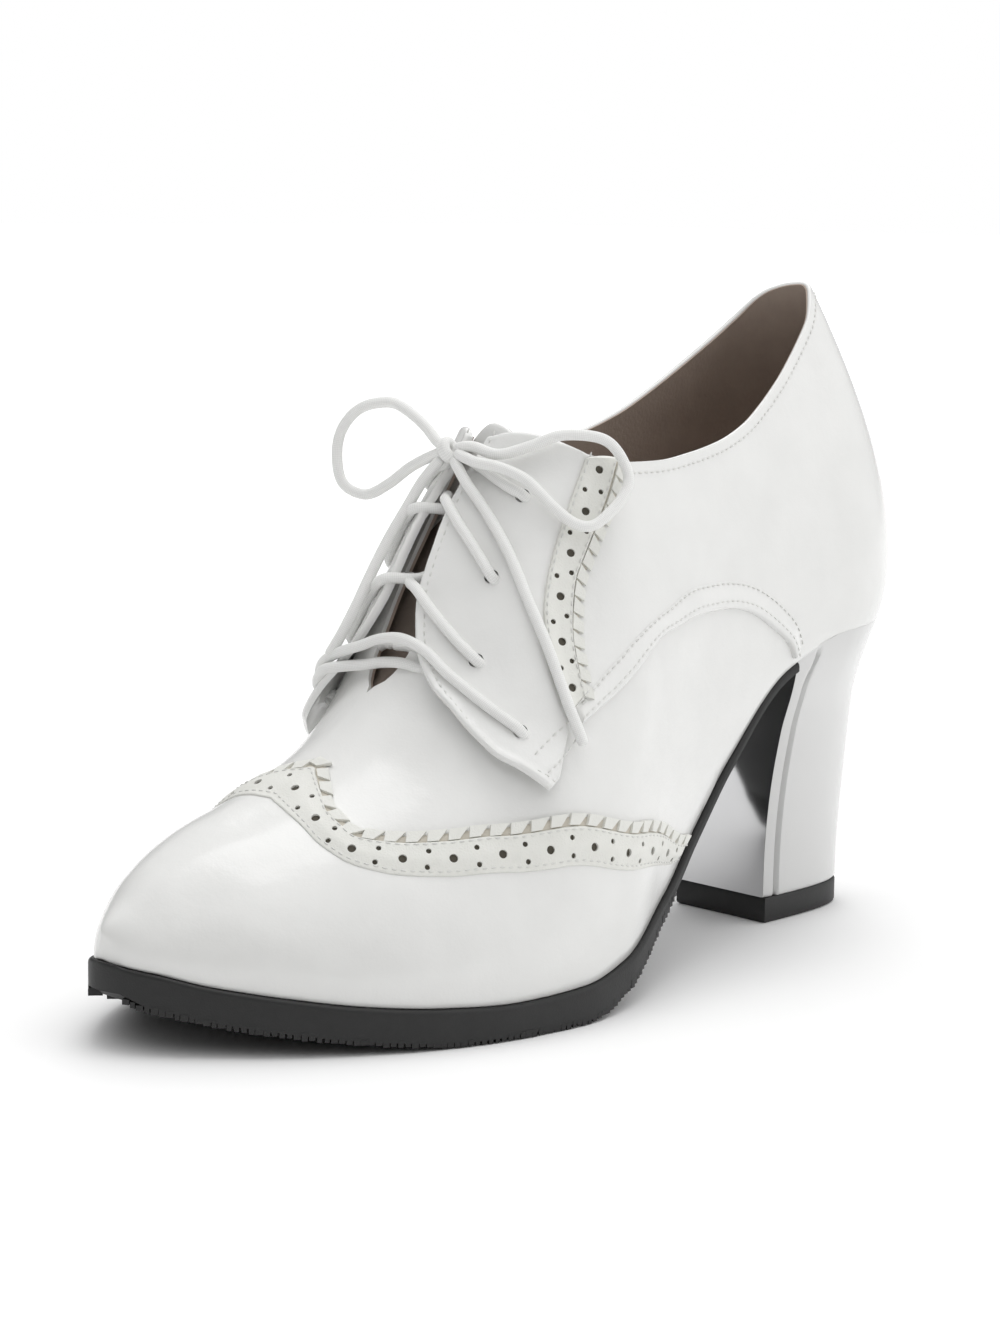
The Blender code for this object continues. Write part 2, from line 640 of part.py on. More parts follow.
ON_FACING = GAP + OVERLAY + GAP + LACE_DIAMETER / 2      # a strand's middle, out from the skin


def crossing(name, look, eyelet, crest):
    """The strands from one pair of eyelets to where they cross, joined over the crest."""
    along, up = eyelet
    halves = {}
    for side in (1, -1):
        halves[side] = []
        for share in (0.0, 0.25, 0.5, 0.75, 0.92):
            place = along + (crest - along) * (1 - (1 - share) ** 2)
            height = ON_FACING + 0.0004 * math.sin(share * math.pi)
            halves[side].append(skin(place, up + (1 - up) * share, side, height))
    top = [skin(crest, 1.0, 1, ON_FACING + 0.0002)]
    return tube(name, look, halves[1] + top + list(reversed(halves[-1])), LACE_DIAMETER, 1)


def lower_bar(look):
    along, up = LOWER_BAR
    out = GAP + LACE_DIAMETER / 2
    shares = (0.0, 0.4, 0.75)
    lateral = [skin(along, up + (1 - up) * share, 1, out) for share in shares]
    medial = [skin(along, up + (1 - up) * share, -1, out) for share in reversed(shares)]
    return tube("lace_lower_bar", look, lateral + [skin(along, 1.0, 1, out)] + medial,
                LACE_DIAMETER, 2)


def bow(look):
    """The knot with its two loops and two ends, each a stretch of its own."""
    middle = skin(*KNOT)
    mesh = bmesh.new()
    bmesh.ops.create_uvsphere(mesh, u_segments=12, v_segments=8, radius=0.5)
    bmesh.ops.scale(mesh, vec=Vector(KNOT_SIZE), verts=mesh.verts)
    finish("lace_knot", mesh, look).location = middle
    for name, rows in (("lace_loop_lateral", LOOP_LATERAL), ("lace_end_lateral", END_LATERAL),
                       ("lace_end_medial", END_MEDIAL)):
        tube(name, look, [skin(*row) for row in rows], LACE_DIAMETER, 2)
    tube("lace_loop_medial", look, [middle + Vector(row) for row in LOOP_MEDIAL], LACE_DIAMETER, 2)


def main():
    for old in list(bpy.data.objects):
        bpy.data.objects.remove(old, do_unlink=True)
    leather = material("White patent leather", (0.80, 0.80, 0.79), 0.22)
    strip_leather = material("Off-white smooth leather", (0.78, 0.77, 0.72), 0.5)
    heel_lacquer = material("White lacquered heel", (0.80, 0.80, 0.79), 0.15)
    rubber = material("Black rubber", (0.012, 0.012, 0.012), 0.6)
    lining = material("Taupe lining", (0.16, 0.13, 0.11), 0.7)
    lace = material("White waxed cotton lace", (0.82, 0.82, 0.81), 0.7)
    outsole(rubber)
    heel(heel_lacquer)
    heel_lift(rubber)
    upper(leather)
    insole(lining)
    tongue(leather)
    wing_band(strip_leather)
    for side, word in ((1, "lateral"), (-1, "medial")):
        punch(laid_on("facing_" + word, leather, FACING, side, (21, 7)), side)
        laid_on("brogue_strip_" + word, strip_leather, BROGUE_STRIP, side, (13, 3))
        laid_on("counter_strip_" + word, leather, COUNTER_STRIP, side, (20, 3))
    lower_bar(lace)
    for number, (eyelet, crest) in enumerate(zip(EYELETS, CROSSINGS), start=1):
        crossing("lace_crossing_%d" % number, lace, eyelet, crest)
    bow(lace)


if __name__ == "__main__":
    main()
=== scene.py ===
"""Dresses the laced heeled shoe for its picture: leather, stitching, perforations, lace and sole.

Metres, in the frame of the CAD part: the toe points to -Y, the outer side of the foot is +X, and
the origin is the middle of the heel's rest face on the floor.
"""
import math

import bmesh
import bpy
import numpy as np
from mathutils import Matrix, Vector


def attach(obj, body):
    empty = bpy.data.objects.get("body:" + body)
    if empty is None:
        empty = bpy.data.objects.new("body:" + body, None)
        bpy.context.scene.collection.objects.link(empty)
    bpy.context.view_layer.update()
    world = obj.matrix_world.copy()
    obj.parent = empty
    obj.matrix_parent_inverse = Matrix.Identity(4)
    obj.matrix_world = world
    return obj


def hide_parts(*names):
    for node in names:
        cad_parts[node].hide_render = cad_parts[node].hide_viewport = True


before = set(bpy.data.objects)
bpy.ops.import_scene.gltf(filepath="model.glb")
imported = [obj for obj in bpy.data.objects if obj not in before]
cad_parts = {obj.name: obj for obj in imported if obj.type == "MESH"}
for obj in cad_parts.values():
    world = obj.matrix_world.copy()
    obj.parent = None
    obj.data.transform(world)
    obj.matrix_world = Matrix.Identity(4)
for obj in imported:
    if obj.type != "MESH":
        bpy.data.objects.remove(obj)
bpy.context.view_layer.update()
MM = 0.001

# Sizes and tables of the last, the same as in the part's source
LENGTH, BALL_WIDTH, HEEL_HEIGHT, INSTEP_HEIGHT = 0.226, 0.082, 0.084, 0.096
SOLE, LIFT, LEDGE, WALL, OVERLAY, GAP = 0.0078, 0.006, 0.0012, 0.0015, 0.0011, 0.0003
INSOLE, TONGUE, LACE_DIAMETER, EYELET_HOLE = 0.002, 0.0015, 0.0024, 0.0032
LIFT_BACK, LIFT_FRONT, LIFT_HALF_WIDTH = 0.0112, 0.0462, 0.0140
REST = (LIFT_BACK + LIFT_FRONT) / 2
HEEL_CENTRE = 0.14
BREAST = 0.2245
BACK_DEPTHS = (0.853, 1.422, 0.047, 0.0)
SECTION_COLUMNS = ("along", "lateral", "medial", "feather", "ridge", "crest", "bulge", "rise",
                   "lateral_shoulder", "medial_shoulder", "tread")
SECTIONS = (
    (0.00, 0.312, -0.308, 0.850, 0.000, 1.730, 0.41, 0.33, -0.20, 0.24, 0.28),
    (0.14, 0.312, -0.308, 0.835, 0.000, 1.730, 0.41, 0.33, -0.20, 0.24, 0.28),
    (0.24, 0.318, -0.300, 0.760, 0.000, 1.730, 0.38, 0.34, 0.00, 0.31, 0.28),
    (0.34, 0.338, -0.288, 0.545, 0.000, 1.720, 0.36, 0.40, 0.34, 0.42, 0.28),
    (0.40, 0.365, -0.292, 0.390, 0.000, 1.710, 0.33, 0.39, 0.46, 0.47, 0.33),
    (0.465, 0.415, -0.335, 0.240, 0.000, 1.630, 0.28, 0.36, 0.54, 0.52, 0.48),
    (0.56, 0.515, -0.410, 0.127, -0.010, 1.275, 0.19, 0.30, 0.57, 0.50, 0.86),
    (0.62, 0.541, -0.448, 0.099, -0.025, 1.025, 0.14, 0.33, 0.61, 0.50, 1.02),
    (0.70, 0.519, -0.477, 0.091, -0.045, 0.695, 0.13, 0.31, 0.64, 0.48, 1.00),
    (0.78, 0.452, -0.472, 0.102, -0.070, 0.545, 0.11, 0.33, 0.64, 0.46, 1.00),
    (0.84, 0.366, -0.445, 0.119, -0.085, 0.485, 0.09, 0.36, 0.62, 0.46, 1.00),
    (0.90, 0.250, -0.380, 0.147, -0.098, 0.435, 0.07, 0.40, 0.60, 0.46, 1.00),
    (0.95, 0.120, -0.287, 0.176, -0.104, 0.370, 0.05, 0.45, 0.58, 0.48, 1.00),
    (0.98, 0.030, -0.205, 0.203, -0.106, 0.305, 0.04, 0.50, 0.58, 0.52, 1.02),
    (1.00, -0.105, -0.107, 0.222, -0.106, 0.240, 0.03, 0.50, 0.60, 0.60, 1.04),
)
# Edge of the collar: share of the length, share of the instep height
TOPLINE = (
    (0.000, 1.584), (0.084, 1.581), (0.106, 1.555), (0.133, 1.487), (0.168, 1.421), (0.199, 1.370),
    (0.221, 1.3375), (0.252, 1.2955), (0.288, 1.256), (0.341, 1.219), (0.389, 1.201), (0.442, 1.190),
    (0.496, 1.193), (0.518, 1.208), (0.558, 1.240), (0.600, 1.300),
)
# Opening between the facings: along, how far up the wall ends on the lateral and medial side
THROAT = (
    (0.560, 0.945, 0.890), (0.600, 0.945, 0.890), (0.640, 0.930, 0.885), (0.670, 0.935, 0.905),
    (0.690, 0.960, 0.945), (0.700, 1.000, 1.000),
)
# Pieces laid on the upper: lines across each one, as along and up from one edge to the other
FACING = (
    (0.569, 0.962, 0.529, 0.688), (0.598, 0.966, 0.547, 0.690), (0.629, 0.955, 0.575, 0.683),
    (0.649, 0.944, 0.595, 0.666), (0.663, 0.915, 0.609, 0.634), (0.677, 0.860, 0.616, 0.592),
    (0.684, 0.780, 0.6185, 0.558), (0.684, 0.700, 0.619, 0.530), (0.679, 0.600, 0.618, 0.495),
    (0.665, 0.510, 0.617, 0.466), (0.652, 0.440, 0.626, 0.440), (0.648, 0.424, 0.637, 0.420),
)
BROGUE_STRIP = (
    (0.525, 0.683, 0.484, 0.574), (0.543, 0.684, 0.505, 0.566), (0.570, 0.677, 0.529, 0.574),
    (0.590, 0.660, 0.552, 0.578), (0.604, 0.630, 0.565, 0.561), (0.611, 0.577, 0.577, 0.527),
    (0.614, 0.520, 0.580, 0.492), (0.609, 0.473, 0.583, 0.464),
)
COUNTER_STRIP = (
    (0.576, 0.453, 0.579, 0.428), (0.560, 0.450, 0.555, 0.411), (0.531, 0.426, 0.521, 0.382),
    (0.479, 0.373, 0.466, 0.339), (0.420, 0.332, 0.412, 0.292), (0.358, 0.279, 0.363, 0.247),
    (0.303, 0.216, 0.318, 0.193), (0.262, 0.145, 0.283, 0.132), (0.236, 0.085, 0.252, 0.066),
    (0.226, 0.045, 0.238, 0.020),
)
WING_BAND = (
    (0.440, 0.016, 0.417, 0.013), (0.479, 0.062, 0.460, 0.085), (0.536, 0.138, 0.521, 0.188),
    (0.600, 0.212, 0.597, 0.295), (0.653, 0.288, 0.650, 0.385), (0.710, 0.386, 0.705, 0.500),
    (0.755, 0.440, 0.738, 0.552), (0.800, 0.510, 0.775, 0.615), (0.825, 0.590, 0.800, 0.690),
    (0.834, 0.700, 0.800, 0.770), (0.834, 0.800, 0.787, 0.840), (0.831, 0.900, 0.770, 0.910),
    (0.829, 0.935, 0.763, 0.935),
)
EYELETS = ((0.653, 0.555), (0.655, 0.734), (0.621, 0.787), (0.578, 0.796))
# The bow on the skin: along, up, side, out
LOOP_LATERAL = (
    (0.578, 0.945, 1, 0.0062), (0.574, 0.880, 1, 0.0048), (0.557, 0.815, 1, 0.0042),
    (0.537, 0.754, 1, 0.0044), (0.514, 0.672, 1, 0.0046), (0.504, 0.624, 1, 0.0046),
    (0.501, 0.581, 1, 0.0044), (0.512, 0.579, 1, 0.0042), (0.527, 0.594, 1, 0.0040),
    (0.543, 0.618, 1, 0.0038), (0.556, 0.657, 1, 0.0038), (0.566, 0.715, 1, 0.0044),
    (0.572, 0.790, 1, 0.0056), (0.579, 0.860, 1, 0.0062), (0.584, 0.915, 1, 0.0066),
)
END_LATERAL = (
    (0.594, 0.930, 1, 0.0052), (0.599, 0.870, 1, 0.0034), (0.603, 0.800, 1, 0.0030),
    (0.606, 0.745, 1, 0.0030), (0.610, 0.677, 1, 0.0030), (0.612, 0.589, 1, 0.0030),
    (0.613, 0.501, 1, 0.0030), (0.611, 0.445, 1, 0.0030), (0.610, 0.418, 1, 0.0030),
)
END_MEDIAL = (
    (0.597, 0.930, -1, 0.0062), (0.608, 0.900, -1, 0.0060), (0.624, 0.870, -1, 0.0062),
    (0.640, 0.855, -1, 0.0064), (0.655, 0.850, -1, 0.0066), (0.668, 0.830, -1, 0.0066),
    (0.677, 0.790, -1, 0.0064),
)
# The free loop: x, y and z from the knot
LOOP_MEDIAL = (
    (-0.0030, -0.0006, 0.0016), (-0.0062, -0.0010, 0.0046), (-0.0110, -0.0022, 0.0080),
    (-0.0150, -0.0036, 0.0094), (-0.0205, -0.0066, 0.0080), (-0.0242, -0.0086, 0.0036),
    (-0.0252, -0.0094, -0.0020), (-0.0236, -0.0092, -0.0084), (-0.0190, -0.0066, -0.0108),
    (-0.0140, -0.0044, -0.0082), (-0.0098, -0.0024, -0.0046), (-0.0050, -0.0012, -0.0020),
)
KNOT = (0.583, 1.0, 1, 0.0070)
TONGUE_TOP, TONGUE_ROOT, TONGUE_HALF_TOP, TONGUE_HALF_ROOT = 0.558, 0.722, 0.280, 0.16

# Soft creases, listed one by one: along, up, side, half length, half width (mm), slant (degrees),
# height (mm). Long ones roll over the vamp where the foot bends, short ones lie by the seams.
CREASES = (
    (0.735, 0.80, 1, 22, 5.0, 82, -0.34), (0.715, 0.86, 1, 18, 4.0, 78, 0.26),
    (0.740, 0.80, -1, 20, 5.0, 96, -0.30), (0.700, 0.62, 1, 12, 3.5, 60, -0.22),
    (0.640, 0.30, 1, 20, 6.5, 24, -0.34), (0.585, 0.20, 1, 16, 5.0, 30, 0.26),
    (0.500, 0.26, 1, 18, 5.0, -36, -0.30), (0.455, 0.46, 1, 12, 4.0, 12, -0.26),
    (0.520, 0.52, 1, 9, 3.0, 70, 0.22), (0.330, 0.40, 1, 20, 7.0, 40, -0.36),
    (0.270, 0.30, 1, 18, 5.5, 55, 0.24), (0.400, 0.24, 1, 16, 5.0, -30, -0.26),
    (0.640, 0.32, -1, 18, 6.0, 24, -0.32), (0.480, 0.34, -1, 18, 6.0, -30, -0.32),
    (0.330, 0.40, -1, 18, 7.0, 40, -0.34), (0.860, 0.62, 1, 24, 9.0, 20, -0.22),
    (0.630, 0.52, 1, 7, 2.4, -20, 0.20), (0.610, 0.62, 1, 9, 2.6, 8, -0.18),
)


def smooth(xs, ys, where):
    """Values of a table's column at many places, soft and without overshoot between its rows."""
    xs = np.asarray(xs, float)
    ys = np.asarray(ys, float)
    where = np.asarray(where, float)
    steps = np.diff(xs)
    slopes = np.diff(ys) / steps
    tangents = np.zeros(len(xs))
    tangents[0], tangents[-1] = slopes[0], slopes[-1]
    near = 2 * steps[1:] + steps[:-1]
    far = steps[1:] + 2 * steps[:-1]
    same = slopes[:-1] * slopes[1:] > 0
    before = np.where(same, slopes[:-1], 1.0)
    after = np.where(same, slopes[1:], 1.0)
    tangents[1:-1] = np.where(same, (near + far) / (near / before + far / after), 0.0)
    i = np.clip(np.searchsorted(xs[1:-1], where, side="right"), 0, len(xs) - 2)
    t = (where - xs[i]) / steps[i]
    return ((1 + 2 * t) * (1 - t) ** 2 * ys[i] + t * (1 - t) ** 2 * steps[i] * tangents[i]
            + t * t * (3 - 2 * t) * ys[i + 1] + t * t * (t - 1) * steps[i] * tangents[i + 1])


# The sections are spaced by the root of the distance from the toe, which rounds the toe
BY_TOE_ROOT = np.array([(math.sqrt(1 - row[0]),) + row[1:] for row in reversed(SECTIONS)])


def section(name, along):
    roots = np.sqrt(np.maximum(0.0, 1 - np.asarray(along, float)))
    return smooth(BY_TOE_ROOT[:, 0], BY_TOE_ROOT[:, SECTION_COLUMNS.index(name)], roots)


def feather(along):
    return section("feather", along) * HEEL_HEIGHT


def ribs(along, side, turn=0.0):
    """Control points of the last's ribs. turn goes from 0 beside the heel's centre to 1 behind."""
    along, side, turn = (np.array(each, float) for each in np.broadcast_arrays(along, side, turn))
    round_back = turn > 0
    held = np.where(round_back, HEEL_CENTRE, along)
    lateral = side > 0
    ridge = section("ridge", held) * BALL_WIDTH
    edge = np.where(lateral, section("lateral", held), section("medial", held)) * BALL_WIDTH
    low = feather(held)
    high = section("crest", held) * INSTEP_HEIGHT
    shoulder = np.where(lateral, section("lateral_shoulder", held),
                        section("medial_shoulder", held))
    bulge = side * section("bulge", held) * np.abs(edge - ridge)
    rise = section("rise", held) * (high - low)
    x = np.stack([edge, edge + bulge, ridge + (edge - ridge) * shoulder, ridge], -1)
    z = np.stack([low, low + rise, high, high], -1)
    centre = HEEL_CENTRE * LENGTH
    behind = np.sin(turn * math.pi / 2)[..., None]
    back = centre - np.array(BACK_DEPTHS) * centre * behind
    s = np.where(round_back[..., None], back, (along * LENGTH)[..., None])
    lift = np.where(round_back, feather(back[..., 0] / LENGTH) - low, 0.0)
    z[..., :2] += lift[..., None]
    x *= np.where(round_back, np.cos(turn * math.pi / 2), 1.0)[..., None]
    return np.stack([x, REST - s, z], -1)


def on_ribs(points, up):
    up = np.asarray(up, float)[..., None]
    down = 1 - up
    return (points[..., 0, :] * down ** 3 + points[..., 1, :] * (3 * up * down ** 2)
            + points[..., 2, :] * (3 * up * up * down) + points[..., 3, :] * up ** 3)


def unit(vectors):
    vectors = np.asarray(vectors, float)
    sizes = np.linalg.norm(vectors, axis=-1, keepdims=True)
    return vectors / np.maximum(sizes, 1e-12)


def relief(along, up, side, turn):
    """How far the leather stands off the last: soft creases and a slow, uneven tension."""
    height = np.zeros(np.shape(along))
    for place, level, where, half_length, half_width, slant, rise in CREASES:
        ahead = (along - place) * LENGTH / MM
        over = (up - level) * 85.0
        angle = math.radians(slant)
        lengthwise = ahead * math.cos(angle) + over * math.sin(angle)
        across = over * math.cos(angle) - ahead * math.sin(angle)
        shape = np.exp(-(lengthwise / half_length) ** 2 - (across / half_width) ** 2)
        height = height + np.where((side > 0) == (where > 0), shape * rise, 0.0)
    waves = (np.sin(along * 47 + up * 9 + side) * np.sin(up * 19 - along * 11)
             + 0.6 * np.sin(along * 83 - up * 23 + 2 * side))
    calm = np.clip(up / 0.12, 0, 1) * np.clip((1 - up) / 0.1, 0, 1) * (turn <= 0)
    tip = np.clip((0.96 - along) / 0.06, 0, 1)
    return (height * np.clip((1 - up) / 0.06, 0, 1) + 0.045 * waves * calm) * tip * MM


def surface(along, up, side, turn=0.0):
    """Points of the leather's outer surface, and the directions that point out of it."""
    along, up, side, turn = (np.array(each, float)
                             for each in np.broadcast_arrays(along, up, side, turn))
    step = 0.002
    points = on_ribs(ribs(along, side, turn), up)
    upwards = (on_ribs(ribs(along, side, turn), np.minimum(1.0, up + step))
               - on_ribs(ribs(along, side, turn), np.maximum(0.0, up - step)))
    round_back = turn > 0
    ahead = on_ribs(ribs(np.minimum(0.9999, along + step), side,
                         np.where(round_back, np.maximum(1e-6, turn - step), 0.0)), up)
    behind = on_ribs(ribs(along - step, side,
                          np.where(round_back, np.minimum(1.0, turn + step), 0.0)), up)
    normals = unit(np.cross(upwards, ahead - behind) * side[..., None])
    return points + normals * relief(along, up, side, turn)[..., None], normals


def skin(along, up, side, out=0.0, turn=0.0):
    """Points that stand off the leather's outer surface by out."""
    points, normals = surface(along, up, side, turn)
    return points + normals * np.asarray(out, float)[..., None]


def collar_end(along, side, turn=0.0):
    """How far up its rib the wall reaches: collar, throat or closed crest."""
    along, side, turn = (np.array(each, float) for each in np.broadcast_arrays(along, side, turn))
    points = ribs(along, side, turn)
    low, high = np.zeros(along.shape), np.ones(along.shape)
    xs, ys = np.array(TOPLINE).T
    for _ in range(26):
        middle = (low + high) / 2
        place = on_ribs(points, middle)
        share = np.clip((REST - place[..., 1]) / LENGTH, 0.0, TOPLINE[-1][0])
        below = place[..., 2] < smooth(xs, ys, share) * INSTEP_HEIGHT
        low, high = np.where(below, middle, low), np.where(below, high, middle)
    end = np.where((turn > 0) | (along < TOPLINE[-1][0]), low, 1.0)
    table = np.array(THROAT)
    opened = (turn <= 0) & (along >= table[0, 0]) & (along < table[-1, 0])
    held = np.clip(along, table[0, 0], table[-1, 0])
    lateral = smooth(table[:, 0], table[:, 1], held)
    medial = smooth(table[:, 0], table[:, 2], held)
    return np.where(opened, np.minimum(end, np.where(side > 0, lateral, medial)), end)


def patch(rows, down, across):
    """Places on a laid-on piece as along and up."""
    table = np.array(rows)
    where = np.asarray(down, float) * (len(rows) - 1)
    numbers = np.arange(len(rows))
    start_along, start_up, end_along, end_up = (smooth(numbers, table[:, i], where)
                                                for i in range(4))
    return (start_along + (end_along - start_along) * across,
            start_up + (end_up - start_up) * across)


def soft_step(value):
    value = np.clip(value, 0.0, 1.0)
    return value * value * (3 - 2 * value)


def smooth_path(points, between):
    """Points of a soft curve through the given points."""
    points = np.asarray(points, float)
    padded = np.concatenate([points[:1], points, points[-1:]])
    t = np.linspace(0, 1, between, endpoint=False)[:, None]
    pieces = []
    for i in range(len(points) - 1):
        before, start, end, after = padded[i:i + 4]
        pieces.append(0.5 * (2 * start + (end - before) * t
                             + (2 * before - 5 * start + 4 * end - after) * t * t
                             + (3 * start - before - 3 * end + after) * t ** 3))
    return np.concatenate(pieces + [points[-1:]])


def run_lengths(points):
    """How far each point lies along its line."""
    return np.concatenate([[0.0], np.cumsum(np.linalg.norm(np.diff(points, axis=0), axis=1))])


def respaced(values, lengths, places):
    """Values of a line, one row for each point, at other places along it."""
    return np.stack([np.interp(places, lengths, column) for column in np.asarray(values).T], -1)


def placed(name, data):
    """A new object in the scene."""
    made = bpy.data.objects.new(name, data)
    bpy.context.scene.collection.objects.link(made)
    return made


# Materials

def linear(colour):
    """Linear colour of an sRGB hex value."""
    parts = [int(colour[i:i + 2], 16) / 255 for i in (1, 3, 5)]
    return [part / 12.92 if part <= 0.04045 else ((part + 0.055) / 1.055) ** 2.4
            for part in parts] + [1.0]


def add(tree, kind, settings=None, links=None):
    """A node with its settings and links. Settings in capitals or numbers are its sockets."""
    node = tree.nodes.new(kind)
    for name, value in (settings or {}).items():
        if isinstance(name, str) and name[0].islower():
            setattr(node, name, value)
        else:
            node.inputs[name].default_value = value
    for name, source in (links or {}).items():
        tree.links.new(source, node.inputs[name])
    return node


def blank(name, settings):
    """A material with its shader's constant values, and the tree and shader to build on."""
    made = bpy.data.materials.new(name)
    made.use_nodes = True
    tree = made.node_tree
    shader = tree.nodes["Principled BSDF"]
    for socket, value in settings.items():
        shader.inputs[socket].default_value = value
    return made, tree, shader


def calculate(tree, operation, *values):
    """The result of a math node on numbers and on other nodes' results."""
    numbers = {i: value for i, value in enumerate(values) if isinstance(value, float)}
    results = {i: value for i, value in enumerate(values) if not isinstance(value, float)}
    return add(tree, "ShaderNodeMath", {"operation": operation, **numbers}, results).outputs[0]


def object_place(tree):
    return add(tree, "ShaderNodeTexCoord").outputs["Object"]


def noise(tree, place, scale, detail):
    return add(tree, "ShaderNodeTexNoise", {"Scale": scale, "Detail": detail},
               {"Vector": place}).outputs[0]


def bumped(tree, shader, height, strength, distance):
    """Lets a pattern's height in metres bend the surface; gives back the bent normal."""
    bent = add(tree, "ShaderNodeBump", {"Strength": strength, "Distance": distance},
               {"Height": height}).outputs[0]
    tree.links.new(bent, shader.inputs["Normal"])
    return bent


def tinted(tree, shader, first, second, factor):
    """Lets a pattern carry the colour from the first to the second."""
    mix = add(tree, "ShaderNodeMix", {"data_type": "RGBA", 6: linear(first), 7: linear(second)},
              {0: factor})
    tree.links.new(mix.outputs[2], shader.inputs["Base Color"])


def patent_leather():
    """Split leather under a thick clear polyurethane coat: white, wet-looking, barely grained."""
    made, tree, shader = blank("White patent-coated leather", {
        "Roughness": 0.26, "IOR": 1.5, "Coat Weight": 0.55, "Coat Roughness": 0.10,
        "Coat IOR": 1.5})
    place = object_place(tree)
    # The coat pulls tight over the last in patches about 12 mm across
    tinted(tree, shader, "#E3E3E1", "#EDEDEB", noise(tree, place, 85.0, 2.0))
    # Pores of the split leather show through the coat, about 0.5 mm apart
    pores = add(tree, "ShaderNodeTexVoronoi", {"Scale": 1900.0, "Randomness": 0.9},
                {"Vector": place})
    fine = bumped(tree, shader, pores.outputs[0], 0.035, 0.0003)
    soft = bumped(tree, shader, noise(tree, place, 320.0, 3.0), 0.06, 0.0012)
    tree.links.new(fine, soft.node.inputs["Normal"])
    tree.links.new(soft, shader.inputs["Coat Normal"])
    return made


def strip_leather():
    """Pigmented calf, cut and punched: a warmer white, without the clear coat, lightly grained."""
    made, tree, shader = blank("Off-white pigmented calf", {"Roughness": 0.44, "IOR": 1.47})
    place = object_place(tree)
    tinted(tree, shader, "#E0E0DA", "#EBEBE6", noise(tree, place, 240.0, 4.0))
    # Grain cells of the calf, 0.7 mm
    grain = add(tree, "ShaderNodeTexVoronoi", {"feature": "DISTANCE_TO_EDGE", "Scale": 1400.0},
                {"Vector": place})
    bumped(tree, shader, grain.outputs[0], 0.22, 0.0003)
    return made


def plain_grained(name, dark, light, cell, roughness, depth, strength, metallic=0.0, coat=0.0):
    """A matt or satin finish with cells of a real size in metres."""
    made, tree, shader = blank(name, {"Roughness": roughness, "Metallic": metallic,
                                      "Coat Weight": coat, "Coat Roughness": 0.06})
    place = object_place(tree)
    tinted(tree, shader, dark, light, noise(tree, place, 0.14 / cell, 5.0))
    bumped(tree, shader, noise(tree, place, 1 / cell, 4.0), strength, depth)
    return made


def braided_lace():
    """Round braid of waxed cotton, sixteen strands: small slanted ribs that cross."""
    made, tree, shader = blank("White waxed braid", {"Roughness": 0.55, "Sheen Weight": 0.25,
                                                     "Sheen Roughness": 0.4})
    where = add(tree, "ShaderNodeUVMap", {"uv_map": "braid"}).outputs[0]
    split = add(tree, "ShaderNodeSeparateXYZ", None, {0: where})
    both_ways = []
    for sign in (1.0, -1.0):
        turned = calculate(tree, "MULTIPLY", split.outputs[1], sign)
        slanted = calculate(tree, "ADD", split.outputs[0], turned)
        wave = calculate(tree, "MULTIPLY", slanted, 2 * math.pi)
        both_ways.append(calculate(tree, "SINE", wave))
    level = add(tree, "ShaderNodeMapRange", {"From Min": -1.0, "From Max": 1.0},
                {"Value": calculate(tree, "MULTIPLY", *both_ways)})
    # Painted light and shade: the colour follows the ribs' height, lighter on the ribs and darker in
    # the grooves between them
    tinted(tree, shader, "#E2E2E0", "#F4F4F2", level.outputs[0])
    bumped(tree, shader, level.outputs[0], 0.5, 0.00007)
    return made


def mirror_film():
    """Metallised film under clear lacquer, a little convex and leaning back: mirrors the sole."""
    made, tree, shader = blank("Mirror film on the heel breast", {
        "Base Color": linear("#CBCBCC"), "Metallic": 1.0, "Roughness": 0.09})
    split = add(tree, "ShaderNodeSeparateXYZ", None, {0: object_place(tree)})
    square = calculate(tree, "MULTIPLY", split.outputs[0], split.outputs[0])
    bend = calculate(tree, "MULTIPLY", square, -MIRROR_BEND)
    lean = calculate(tree, "MULTIPLY_ADD", split.outputs[2], -MIRROR_LEAN, bend)
    bumped(tree, shader, lean, 1.0, 1.0)
    return made


def studio_table():
    """Matt white acrylic that glows, more the further it lies from the shoe: painted light that keeps
    the far floor white.
    """
    made, tree, shader = blank("Matt white acrylic", {"Base Color": linear("#FDFDFD"),
                                                      "Roughness": 0.9})
    # Painted light: the glow starts 0.3 m from the shoe and grows to a strength of 0.3 by 1.1 m
    away = add(tree, "ShaderNodeVectorMath", {"operation": "LENGTH"}, {0: object_place(tree)})
    glow = add(tree, "ShaderNodeMapRange", {"From Min": 0.30, "From Max": 1.1, "To Min": 0.0,
                                            "To Max": 0.3}, {"Value": away.outputs[1]})
    shader.inputs["Emission Color"].default_value = (1.0, 1.0, 1.0, 1.0)
    tree.links.new(glow.outputs[0], shader.inputs["Emission Strength"])
    return made


MIRROR_LEAN = math.tan(math.radians(5.2))
MIRROR_BEND = 2.4        # half the curvature of the breast from side to side, per metre
PATENT = patent_leather()
CALF = strip_leather()
# Taupe pigskin lining: suede-like, pricked all over, soaks up light
LINING = plain_grained("Taupe pigskin lining", "#A59589", "#B8A89C", 0.0009, 0.75, 0.0004, 0.35)
# Bare split leather of the tongue: its own dull colour, darkened further as painted shade of the deep
# throat between the facings
SPLIT_WITH_PAINTED_SHADE = plain_grained("Bare split of the tongue, darkened as painted shade", "#7C7067", "#8F8379", 0.0006, 0.85, 0.0003, 0.35)
# Undyed fibre board under the cut edges of the strips: warm, dull and rough
BOARD = plain_grained("Tan fibre under the pinked edge", "#C8C2B5", "#D9D3C8", 0.0005, 0.8,
                      0.0002, 0.3)
